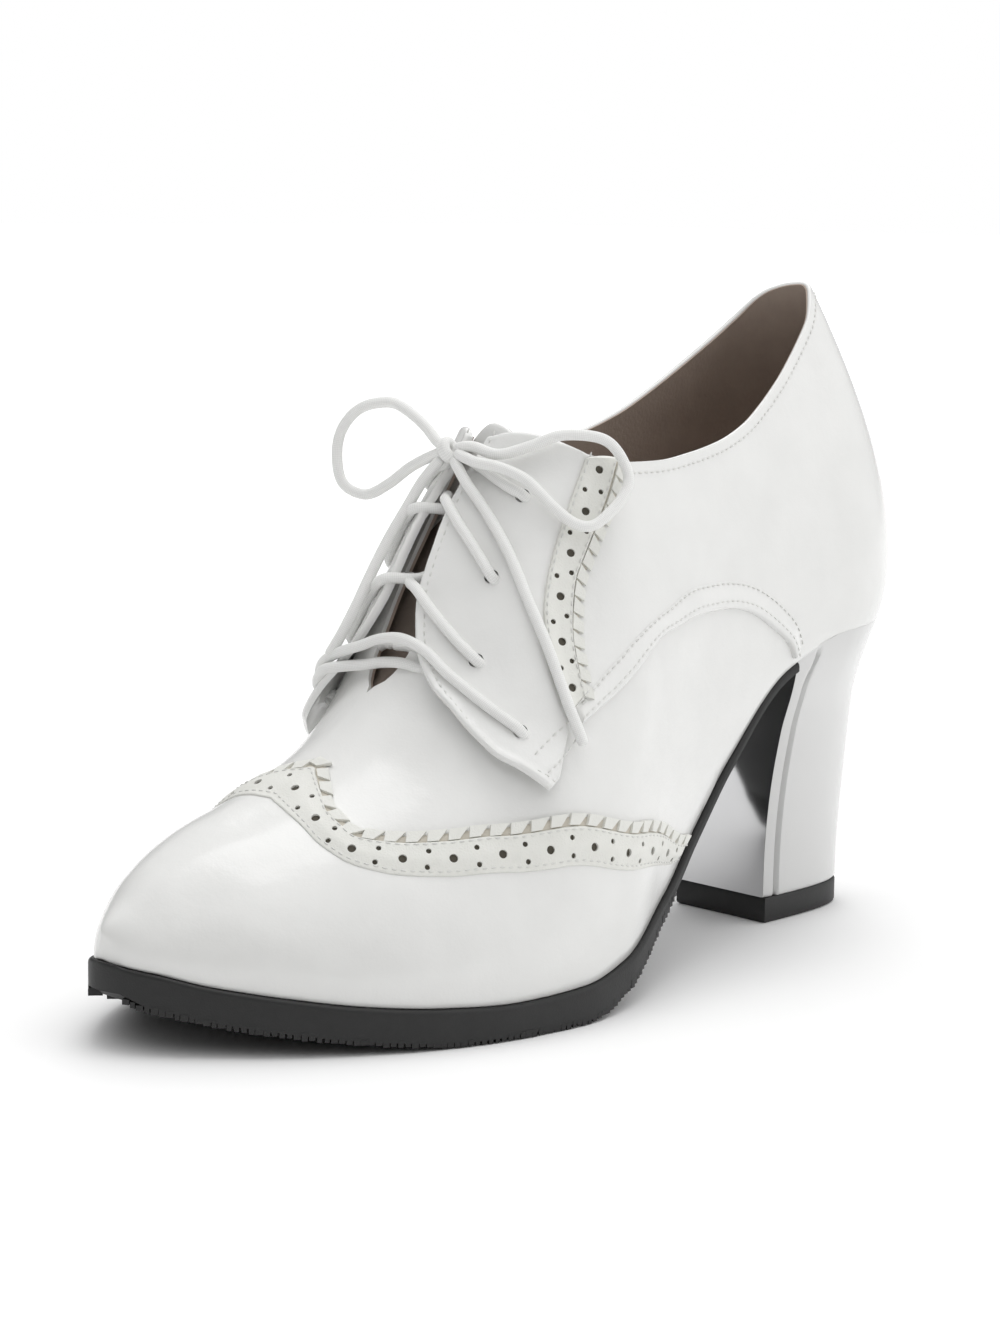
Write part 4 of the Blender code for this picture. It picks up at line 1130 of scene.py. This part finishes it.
def facing(side, word):
    down = near_edges(0.075, 0.0009, 90)
    across = near_edges(0.030, 0.0009, 34)
    along, up = patch(FACING, down[:, None], across[None, :])
    numbers = np.arange(len(FACING))
    moved = [smooth(numbers, UNDER_STRIP[:, i], down * numbers[-1]) for i in (0, 1)]
    along = along + moved[0][:, None] * across[None, :] ** 6
    up = up + moved[1][:, None] * across[None, :] ** 6
    points, normals = surface(along, up, float(side))
    bottom = GAP + facing_lift(points, side)
    # The edge is turned under, so a low ridge runs inside it
    distance = np.linalg.norm(points[..., None, :] - FACING_EDGES[side][0], axis=-1).min(-1)
    fold = 0.0005 * np.exp(-((distance - 0.0009) / 0.0010) ** 2)
    # Under the strip the leather is skived thin
    covered = soft_step((0.78 - down) / 0.06)[:, None] * soft_step((across - 0.90) / 0.06)[None, :]
    top = bottom + OVERLAY * (1 - 0.75 * covered) + fold
    mesh = laid_shell(points, normals, top, bottom, 0.0009)
    mesh = with_holes("facing_%s_leather" % word, mesh, eyelet_punches(side))
    keep("facing_%s_leather" % word, mesh, PATENT, ("facing_" + word,))

    def seam_on_it(line_along, line_up, over_strip=0.0):
        base, _ = surface(line_along, line_up, float(side))
        height = GAP + OVERLAY + facing_lift(base, side) + over_strip + 0.0001
        return seam(line_along, line_up, float(side), height)

    # The long seam follows the front edge and turns away from it at the tip
    rows = np.linspace(0.0, 1.0, 120)
    lines = [seam_on_it(*patch(FACING, rows * 0.985, 0.075 + 0.25 * soft_step((rows - 0.8) / 0.2)))]
    for row in TIP_STITCHES:
        line_along, line_up = smooth_path(row, 12).T
        over_strip = 0.0004 * soft_step((0.620 - line_along) / 0.004)
        lines.append(seam_on_it(line_along, line_up, over_strip))
    stitches("facing_%s_stitches" % word, lines)


for sign, inner_or_outer in SIDES:
    facing(sign, inner_or_outer)


def wing_rows():
    """The band's rows from the lateral sole edge over the crest to the medial sole edge.

    Places above 1 lie on the medial side, counted down from the crest. The sideways shift of
    the peak fades out before the facing's tip.
    """
    mirrored = []
    for row in reversed(WING_BAND[:-1]):
        row = list(row)
        for i in (1, 3):
            row[i] = 2 - row[i] - 2 * (1 - WING_PEAK) * float(soft_step((row[i] - 0.42) / 0.5))
        mirrored.append(tuple(row))
    return WING_BAND + tuple(mirrored)


WING_PEAK = WING_BAND[-1][1]
WING_ROWS = wing_rows()


def places_on(rows, down, across, side):
    """Places on a band as along, up and side. A band with no side crosses the crest."""
    along, up = patch(rows, down, across)
    if side:
        return along, up, float(side)
    return along, np.minimum(up, 2 - up), np.where(up <= 1, 1.0, -1.0)


def perforations(rows, start, end, side, middle, spread_out, pitch, centre=None):
    """Holes of a brogue row: a large one, then a pair of small ones, and so on.

    The rhythm starts at the row's first end, or else runs both ways from its centre.
    """
    down = np.linspace(start, end, 500)
    lengths = run_lengths(skin(*places_on(rows, down, middle, side)))
    first = pitch * 0.25
    if centre is not None:
        first = float(np.interp(centre, down, lengths)) - first
    before = int(first // (pitch / 2))
    places = np.arange(first - before * pitch / 2, lengths[-1], pitch / 2)
    downs = np.interp(places, lengths, down)
    all_down, all_across, radii = [], [], []
    for number, here in enumerate(downs):
        if (number - before) % 2 == 0:
            all_down.append(here)
            all_across.append(middle)
            radii.append(HOLE)
        else:
            for offset in (-spread_out, spread_out):
                all_down.append(here)
                all_across.append(middle + offset)
                radii.append(SMALL_HOLE)
    points, normals = surface(*places_on(rows, np.array(all_down), np.array(all_across), side))
    return guide(points + normals * 0.001, normals, radii)


def band_line(rows, downs, across, side, out):
    along, up, sides = places_on(rows, downs, across, side)
    return seam(along, up, sides, out)


def band(name, rows, downs, side, heights, leather_to, board, holes, nodes):
    """A punched band of calf over a dark sheet of painted shade for its holes, beside a strip of tan
    fibre for its teeth.

    The band rises from the first height at its edge to the second at its teeth.
    """
    def sheet(first, last, count):
        return surface(*places_on(rows, downs[:, None], np.linspace(first, last, count), side))

    across = near_edges(0.010, 0.0005, 14) * leather_to
    points, normals = surface(*places_on(rows, downs[:, None], across[None, :], side))
    top = heights[0] + (heights[1] - heights[0]) * soft_step(across / 0.4)
    top = np.broadcast_to(top[None, :], points.shape[:2])
    mesh = laid_shell(points, normals, top, np.full(points.shape[:2], 0.00003), 0.0004)
    mesh = with_holes(name, mesh, holes)
    keep(name, mesh, CALF, nodes)
    # The dark sheet under the holes is painted shade; the tan fibre shows between the teeth
    for part, finish, places, inset in (("hole_shade", HOLE_SHADE_SHEET, (0.14, leather_to - 0.06, 12), 0.0005),
                                        ("board", BOARD, board + (5,), 0.0007)):
        points, normals = sheet(*places)
        top = heights[0] + (heights[1] - heights[0]) * soft_step(np.linspace(*places) / 0.4) - inset
        top = np.broadcast_to(np.maximum(0.0002, top)[None, :], points.shape[:2])
        keep(name + "_" + part, laid_shell(points, normals, top, top * 0 + 0.00008, 0.0002),
             finish)


def wing():
    downs = np.linspace(0.008, 0.992, 300)
    holes = perforations(WING_ROWS, 0.01, 0.99, 0, middle=0.36, spread_out=0.17, pitch=0.0105,
                         centre=0.5)
    band("wing_band_calf", WING_ROWS, downs, 0, heights=(0.0004, 0.0011), leather_to=0.74,
         board=(0.66, 0.91), holes=holes, nodes=("wing_band",))
    teeth = grown("wing_teeth", PINKED, [band_line(WING_ROWS, downs, 0.86, 0, 0.0002)], CALF)
    keep("wing_teeth", teeth, None)
    stitches("wing_stitches", [band_line(WING_ROWS, downs, 0.68, 0, 0.0011),
                               band_line(WING_ROWS, downs, 0.10, 0, 0.0005)])


def brogue(side, word):
    downs = np.linspace(0.0, 1.0, 70)
    holes = perforations(BROGUE_STRIP, 0.02, 1.0, side, middle=0.38, spread_out=0.17,
                         pitch=0.0100)
    band("brogue_strip_%s_calf" % word, BROGUE_STRIP, downs, side, heights=(0.0017, 0.0010),
         leather_to=0.72, board=(0.64, 0.91), holes=holes, nodes=("brogue_strip_" + word,))
    teeth = grown("brogue_teeth", PINKED, [band_line(BROGUE_STRIP, downs[3:], 0.86, side, 0.0002)],
                  CALF, {"Pitch": 0.0036, "Foot": 0.0033, "Tip": 0.0022})
    keep("brogue_teeth_" + word, teeth, None)
    stitches("brogue_stitches_" + word, [band_line(BROGUE_STRIP, downs, 0.66, side, 0.0011),
                                         band_line(BROGUE_STRIP, downs, 0.08, side, 0.0018)])


wing()
for sign, inner_or_outer in SIDES:
    brogue(sign, inner_or_outer)


# The quarter's edge starts under the end of the brogue strip
QUARTER_EDGE = ((0.600, 0.467, 0.603, 0.442),) + COUNTER_STRIP[1:]


def counter(side, word):
    """The edge of the quarter, swelling from nothing to a step above the waist."""
    down = np.linspace(0.0, 1.0, 150)
    across = np.concatenate([np.linspace(0, 0.9, 14), [0.94, 0.97, 0.99, 1.0]])
    along, up = patch(QUARTER_EDGE, down[:, None], across[None, :])
    points, normals = surface(along, up, float(side))
    top = np.broadcast_to(0.00015 + 0.00115 * soft_step(across / 0.8), points.shape[:2])
    mesh = laid_shell(points, normals, top, np.full(points.shape[:2], 0.00003), 0.0006)
    keep("counter_strip_%s_leather" % word, mesh, PATENT,
         ("counter_strip_" + word,), sharp=60.0)
    lines = []
    for place, height in ((0.10, 0.0003), (0.72, 0.00125)):
        line_along, line_up = patch(QUARTER_EDGE, np.linspace(0.02, 1.0, 120), place)
        lines.append(seam(line_along, line_up, float(side), height))
    stitches("counter_stitches_" + word, lines)


for sign, inner_or_outer in SIDES:
    counter(sign, inner_or_outer)


def tongue(name, first, last, finish):
    """Part of the tongue, from one share of its length to another. It sags in the throat."""
    share = first + (last - first) * near_edges(0.04 * (last - first), 0.0006, 30)
    across = near_edges(0.03, 0.0007, 30) * 2 - 1
    half = TONGUE_HALF_TOP + (TONGUE_HALF_ROOT - TONGUE_HALF_TOP) * share[:, None]
    side = np.where(across >= 0, 1.0, -1.0)[None, :]
    rounding = 0.012 * np.abs(across[None, :]) ** 2.5 * np.maximum(0.0, 1 - 3 * share[:, None])
    along = TONGUE_TOP + (TONGUE_ROOT - TONGUE_TOP) * share[:, None] + rounding
    up = 1 - np.abs(across[None, :]) * half
    points, normals = surface(along, up, side)
    sag = 0.0040 * (soft_step(share / 0.25) * soft_step((0.9 - share) / 0.3))[:, None]
    top = -WALL - GAP - sag * (1 - across[None, :] ** 2)
    mesh = laid_shell(points, normals, top, top - TONGUE, 0.0007)
    keep(name, mesh, finish, ("tongue",))


# White where it shows above the bow; below it the unfinished split, darkened as painted shade of the
# throat
tongue("tongue_leather", 0.0, 0.22, PATENT)
tongue("tongue_split_painted_shade", 0.20, 1.0, SPLIT_WITH_PAINTED_SHADE)


# Sole, insole and heel

def outline(out, along):
    """Plan outline of the last's edge, moved outwards: lateral and medial points as x and s."""
    root = np.sqrt(np.maximum(0.0, 1 - along))
    ahead = np.maximum(0.0, root - 0.004)
    behind = root + 0.004
    both = []
    for side, name in ((1, "lateral"), (-1, "medial")):
        edge = section(name, along) * BALL_WIDTH
        slope_x = (section(name, 1 - ahead ** 2) - section(name, 1 - behind ** 2)) * BALL_WIDTH
        slope_y = (behind ** 2 - ahead ** 2) * LENGTH
        size = np.hypot(slope_x, slope_y)
        both.append(np.stack([edge + side * out * slope_y / size,
                              along * LENGTH - side * out * slope_x / size], -1))
    return both


def tread(along):
    height = feather(along) - GAP - section("tread", along) * SOLE
    return np.where(height > 0.0002, height, 0.0)


def plate(name, edges, top, bottom, radius, finish, nodes):
    """A plate between its two edges with a rounded upper corner."""
    lateral, medial = edges
    shares = near_edges(0.06, radius, 16)
    flat = lateral[:, None] + (medial - lateral)[:, None] * shares[None, :, None]
    here = np.minimum(1.0, flat[..., 1] / LENGTH)
    width = np.linalg.norm(medial - lateral, axis=-1)[:, None]
    edge = np.minimum(shares, 1 - shares)[None, :] * width
    share = np.clip(edge / radius, 0, 1)
    dip = radius * (1 - np.sqrt(np.maximum(0.0, 1 - (1 - share) ** 2)))
    upper_z = top(here) - dip
    lower_z = bottom(here)
    upper_side = np.stack([flat[..., 0], REST - flat[..., 1], upper_z], -1)
    lower_side = np.stack([flat[..., 0], REST - flat[..., 1], lower_z], -1)
    rings = np.concatenate([upper_side, lower_side[:, ::-1]], 1)
    lids = []
    for line in end_rings(rings):
        for i in range(len(line) // 2 - 1):
            lids.append([line[i], line[i + 1], line[-2 - i], line[-1 - i]])
    return keep(name, cleaned(lofted(name, rings, lids)), finish, nodes)


SOLE_ALONG = 1 - np.linspace(math.sqrt(1 - BREAST), 0.0, 150) ** 2
TREAD_DEPTH = 0.0009


def ledge(along):
    """The sole stands out beside the foot, and thins to nothing before the heel."""
    return LEDGE * (0.12 + 0.88 * soft_step((along - BREAST) / 0.16))


def tread_rise(along):
    """How far the plate ends above the lugs' faces: none at the waist, more at the toe's tip."""
    return (TREAD_DEPTH * soft_step((along - 0.42) / 0.05)
            + 0.0014 * soft_step((along - 0.985) / 0.015))


def sole():
    edges = outline(ledge(SOLE_ALONG), SOLE_ALONG)
    plate("outsole_rubber", edges, lambda along: feather(along) - GAP,
          lambda along: tread(along) + tread_rise(along), 0.0011, RUBBER, ("outsole",))
    # Lugs stand round the rim and in rows under the ball
    lines = []
    for inset in (0.0014, 0.0052, 0.0095, 0.0145, 0.0205, 0.0270):
        along = 1 - np.linspace(math.sqrt(1 - 0.45), 0.07 + inset * 9, 160) ** 2
        both = outline(LEDGE - inset, along)
        for edge in both:
            here = np.minimum(1.0, edge[:, 1] / LENGTH)
            z = tread(here) + np.maximum(TREAD_DEPTH, tread_rise(here))
            points = np.stack([edge[:, 0], REST - edge[:, 1], z], -1)
            keep_going = (both[0][:, 0] - both[1][:, 0]) > 0.004
            if keep_going.sum() > 3:
                points = points[keep_going]
                lines.append(guide(points, np.tile((0.0, 0.0, -1.0), (len(points), 1))))
    keep("outsole_lugs", grown("outsole_lugs", TREAD, lines, RUBBER, {"Depth": 2 * TREAD_DEPTH}),
         None, ("outsole",))


sole()


def insole():
    inside = WALL + 3 * GAP
    turns = np.array((0.97, 0.9, 0.75, 0.6, 0.4, 0.2))
    lateral = skin(HEEL_CENTRE, 0.0, 1.0, -inside, turns)
    medial = skin(HEEL_CENTRE, 0.0, -1.0, -inside, turns)
    back = [np.stack([each[:, 0], REST - each[:, 1]], -1) for each in (lateral, medial)]
    along = 1 - np.linspace(math.sqrt(1 - HEEL_CENTRE), 0.10, 90) ** 2
    front = outline(-inside, along)
    wide = front[0][:, 0] - front[1][:, 0] > 0.006
    edges = [np.concatenate([each[:, :2], more[wide]]) for each, more in zip(back, front)]
    plate("insole_sock", edges, lambda here: feather(here) + INSOLE, lambda here: feather(here) + GAP,
          0.0006, LINING, ("insole",))


insole()

HEEL_RINGS = np.array((
    (0.00, 0.000, 0.00, 0.00, 2.0), (0.14, 0.172, 0.17, 0.07, 2.1), (0.32, 0.422, 0.48, 0.19, 2.35),
    (0.50, 0.638, 0.72, 0.33, 2.7), (0.70, 0.828, 0.88, 0.57, 3.0), (0.86, 0.940, 0.96, 0.81, 3.2),
    (1.00, 1.000, 1.00, 1.00, 3.4),
))
HEEL_BLEND = 0.3
STRIP_WIDTH = 0.0040      # bright strip between the breast and the groove on the side
STRIP_BEVEL = 0.0007
GROOVE_DEPTH = 0.0021
GROOVE_SPREAD = 0.00052
GROOVE_LEAN = 0.0032      # how far back the groove leans where it reaches the upper
BREAST_INSET = 0.0007


def ring_at(points, places):
    lengths = run_lengths(points)
    return respaced(points, lengths, places * lengths[-1]), lengths[-1]


def heel_ring(half_width, back, front, square):
    turn = np.linspace(0.0, math.pi, 721)
    across = np.sign(np.cos(turn)) * np.abs(np.cos(turn)) ** (2 / square)
    behind = np.abs(np.sin(turn)) ** (2 / square)
    return np.stack([half_width * across, front + (back - front) * behind], -1)


def seat_line(front):
    """The edge of the upper round the heel, from the breast on one side to the other."""
    along = np.linspace(front / LENGTH, HEEL_CENTRE, 30)[:-1]
    turns = np.linspace(0.0, 1.0, 60)
    halves = []
    for side in (1.0, -1.0):
        first = on_ribs(ribs(along, side), 0.0)
        second = on_ribs(ribs(np.full(60, HEEL_CENTRE), side, turns), 0.0)
        halves.append(np.concatenate([first, second]))
    line = np.concatenate([halves[0], halves[1][::-1][1:]])
    return np.stack([line[:, 0], REST - line[:, 1]], -1)


def heel():
    breast = BREAST * LENGTH - GAP
    sizes = ((float(section("lateral", HEEL_CENTRE)) * BALL_WIDTH, LIFT_HALF_WIDTH),
             (HEEL_CENTRE * LENGTH * (1 - BACK_DEPTHS[0]), LIFT_BACK), (breast, LIFT_FRONT))
    fine = np.array([0, .0003, .0008, .0014, .0022, .0030, .0034, .0037, .0040, .0043, .0046, .0050,
                     .0056, .0068])
    downs = np.concatenate([[0.0, 0.004, 0.010], np.linspace(0.02, 0.985, 60), [0.993, 1.0]])
    seat = seat_line(breast)
    body, panel = [], []
    for down in downs:
        shares = [float(smooth(HEEL_RINGS[:, 0], HEEL_RINGS[:, i], down)) for i in (1, 2, 3, 4)]
        half_width, back, front = (start + (end - start) * share
                                   for (start, end), share in zip(sizes, shares))
        ring = heel_ring(half_width, back, front, shares[3])
        length = run_lengths(ring)[-1]
        strip = STRIP_WIDTH + GROOVE_LEAN * float(soft_step(1 - down / 0.14))
        near = fine * strip / STRIP_WIDTH / length
        places = np.concatenate([near, np.linspace(near[-1], 1 - near[-1], 120)[1:-1],
                                 1 - near[::-1]])
        ring, length = ring_at(ring, places)
        seat_ring, _ = ring_at(seat, places)
        blend = max(0.0, 1 - down / HEEL_BLEND) ** 2
        ring = ring + (seat_ring - ring) * blend
        # Bevelled strip beside the breast, and the thin groove that ends it
        distance = np.minimum(places, 1 - places) * length
        tangent = unit(np.gradient(ring, axis=0))
        inward = np.stack([-tangent[:, 1], tangent[:, 0]], -1)
        middle = np.array((0.0, (front + back) / 2))
        inward *= np.sign(((middle - ring) * inward).sum(-1))[:, None]
        shown = float(soft_step((down - 0.004) / 0.03))
        depth = (STRIP_BEVEL * np.clip(1 - distance / strip, 0, 1)
                 + GROOVE_DEPTH * np.exp(-((distance - strip) / GROOVE_SPREAD) ** 2) * shown)
        rounding = 0.0004 * (max(0.0, (down - 0.985) / 0.015) ** 2)
        # The cover's top closes tightly over the edge of the upper
        lip = max(0.0, 1 - down / 0.02)
        ring = ring + inward * (depth + rounding - 0.0002 * lip)[:, None]
        seat_z = feather(np.minimum(1.0, ring[:, 1] / LENGTH)) - GAP
        z = seat_z + (LIFT + 0.0001 - seat_z) * down + 0.0008 * lip
        side_line = np.stack([ring[:, 0], REST - ring[:, 1], z], -1)
        shares_front = near_edges(0.028, 0.0004, 8)
        front_line = side_line[-1] + (side_line[0] - side_line[-1]) * shares_front[:, None]
        front_line[:, 1] += BREAST_INSET * np.clip(shares_front * (1 - shares_front) * 60, 0, 1)
        body.append(np.concatenate([side_line, front_line[1:-1]]))
        wide = np.linspace(0.002, 0.998, 14)
        panel.append(side_line[-1] + (side_line[0] - side_line[-1]) * wide[:, None])
    body = np.array(body)
    keep("heel_cover", cleaned(lofted("heel_cover", body, end_rings(body))), LACQUER,
         ("heel",), sharp=45.0)
    plate_mesh = cleaned(grid_mesh("heel_breast", np.array(panel)), outwards_from=(0, 0.02, 0.04))
    plate_mesh = baked("heel_breast", plate_mesh, [("SOLIDIFY", {"thickness": 0.0005, "offset": -1.0})])
    keep("heel_breast", plate_mesh, MIRROR, ("heel",), sharp=45.0)


heel()


def heel_lift():
    ring, _ = ring_at(heel_ring(LIFT_HALF_WIDTH, LIFT_BACK, LIFT_FRONT, 3.4),
                      np.linspace(0, 1, 140))
    centre = ring.mean(0)
    levels = ((0.0, 0.0006), (0.0002, 0.0002), (0.0006, 0.0), (0.0054, 0.0), (0.0058, 0.0002),
              (0.0060, 0.0005))
    rows = []
    for z, inset in levels:
        moved = ring + unit(centre - ring) * inset
        rows.append(np.stack([moved[:, 0], REST - moved[:, 1], np.full(len(moved), z)], -1))
    body = np.array(rows)
    keep("heel_top_piece", cleaned(lofted("heel_top_piece", body, end_rings(body))), RUBBER,
         ("heel_lift",))


heel_lift()


# Floor and light

def floor():
    mesh = bpy.data.meshes.new("floor")
    mesh.from_pydata([(-9, -9, -0.0001), (9, -9, -0.0001), (9, 9, -0.0001), (-9, 9, -0.0001)], [],
                     [(0, 1, 2, 3)])
    mesh.materials.append(CARD)
    placed("floor", mesh)


SKY_ABOVE, SKY_RIGHT, SKY_BEHIND = 1.41, 1.08, 0.40      # strengths of the sky's three lobes


def sky():
    """White studio surroundings: brightest above, then on the right, dim towards the camera."""
    world = bpy.data.worlds.new("studio")
    bpy.context.scene.world = world
    world.use_nodes = True
    tree = world.node_tree
    shader = tree.nodes["Background"]
    direction = add(tree, "ShaderNodeTexCoord").outputs["Generated"]
    total = None
    for axis, strength in ((UPWARDS, SKY_ABOVE), (RIGHT, SKY_RIGHT), (AWAY, SKY_BEHIND)):
        share = add(tree, "ShaderNodeVectorMath", {"operation": "DOT_PRODUCT", 1: tuple(axis)},
                    {0: direction})
        lobe = calculate(tree, "POWER", calculate(tree, "MAXIMUM", share.outputs[1], 0.0), 2.0)
        scaled = calculate(tree, "MULTIPLY", lobe, strength)
        total = scaled if total is None else calculate(tree, "ADD", total, scaled)
    path = add(tree, "ShaderNodeLightPath")
    seen = add(tree, "ShaderNodeMix", {"data_type": "FLOAT", 3: 1.0},
               {0: path.outputs["Is Camera Ray"], 2: total})
    tree.links.new(seen.outputs[0], shader.inputs["Strength"])
    shader.inputs["Color"].default_value = (1.0, 1.0, 1.0, 1.0)


AIM = Vector((0.0, -0.08, 0.04))
SOFTBOX_SIDE = 0.7


def softbox(name, offset, power):
    """A square soft light of a power in watts, turned to the middle of the shoe."""
    lamp = bpy.data.lights.new(name, "AREA")
    lamp.shape = "SQUARE"
    lamp.size = SOFTBOX_SIDE
    lamp.energy = power
    made = placed(name, lamp)
    made.rotation_euler = (-offset).to_track_quat("-Z", "Y").to_euler()
    made.location = AIM + offset


floor()
sky()
softbox("light_above", UPWARDS * 1.3, 2.7)
softbox("light_from_behind", AWAY + UPWARDS, 2.1)
softbox("light_from_camera", UPWARDS - AWAY, 0.67)
softbox("light_from_left", UPWARDS - RIGHT, 0.69)
bpy.context.scene.view_settings.view_transform = "Standard"
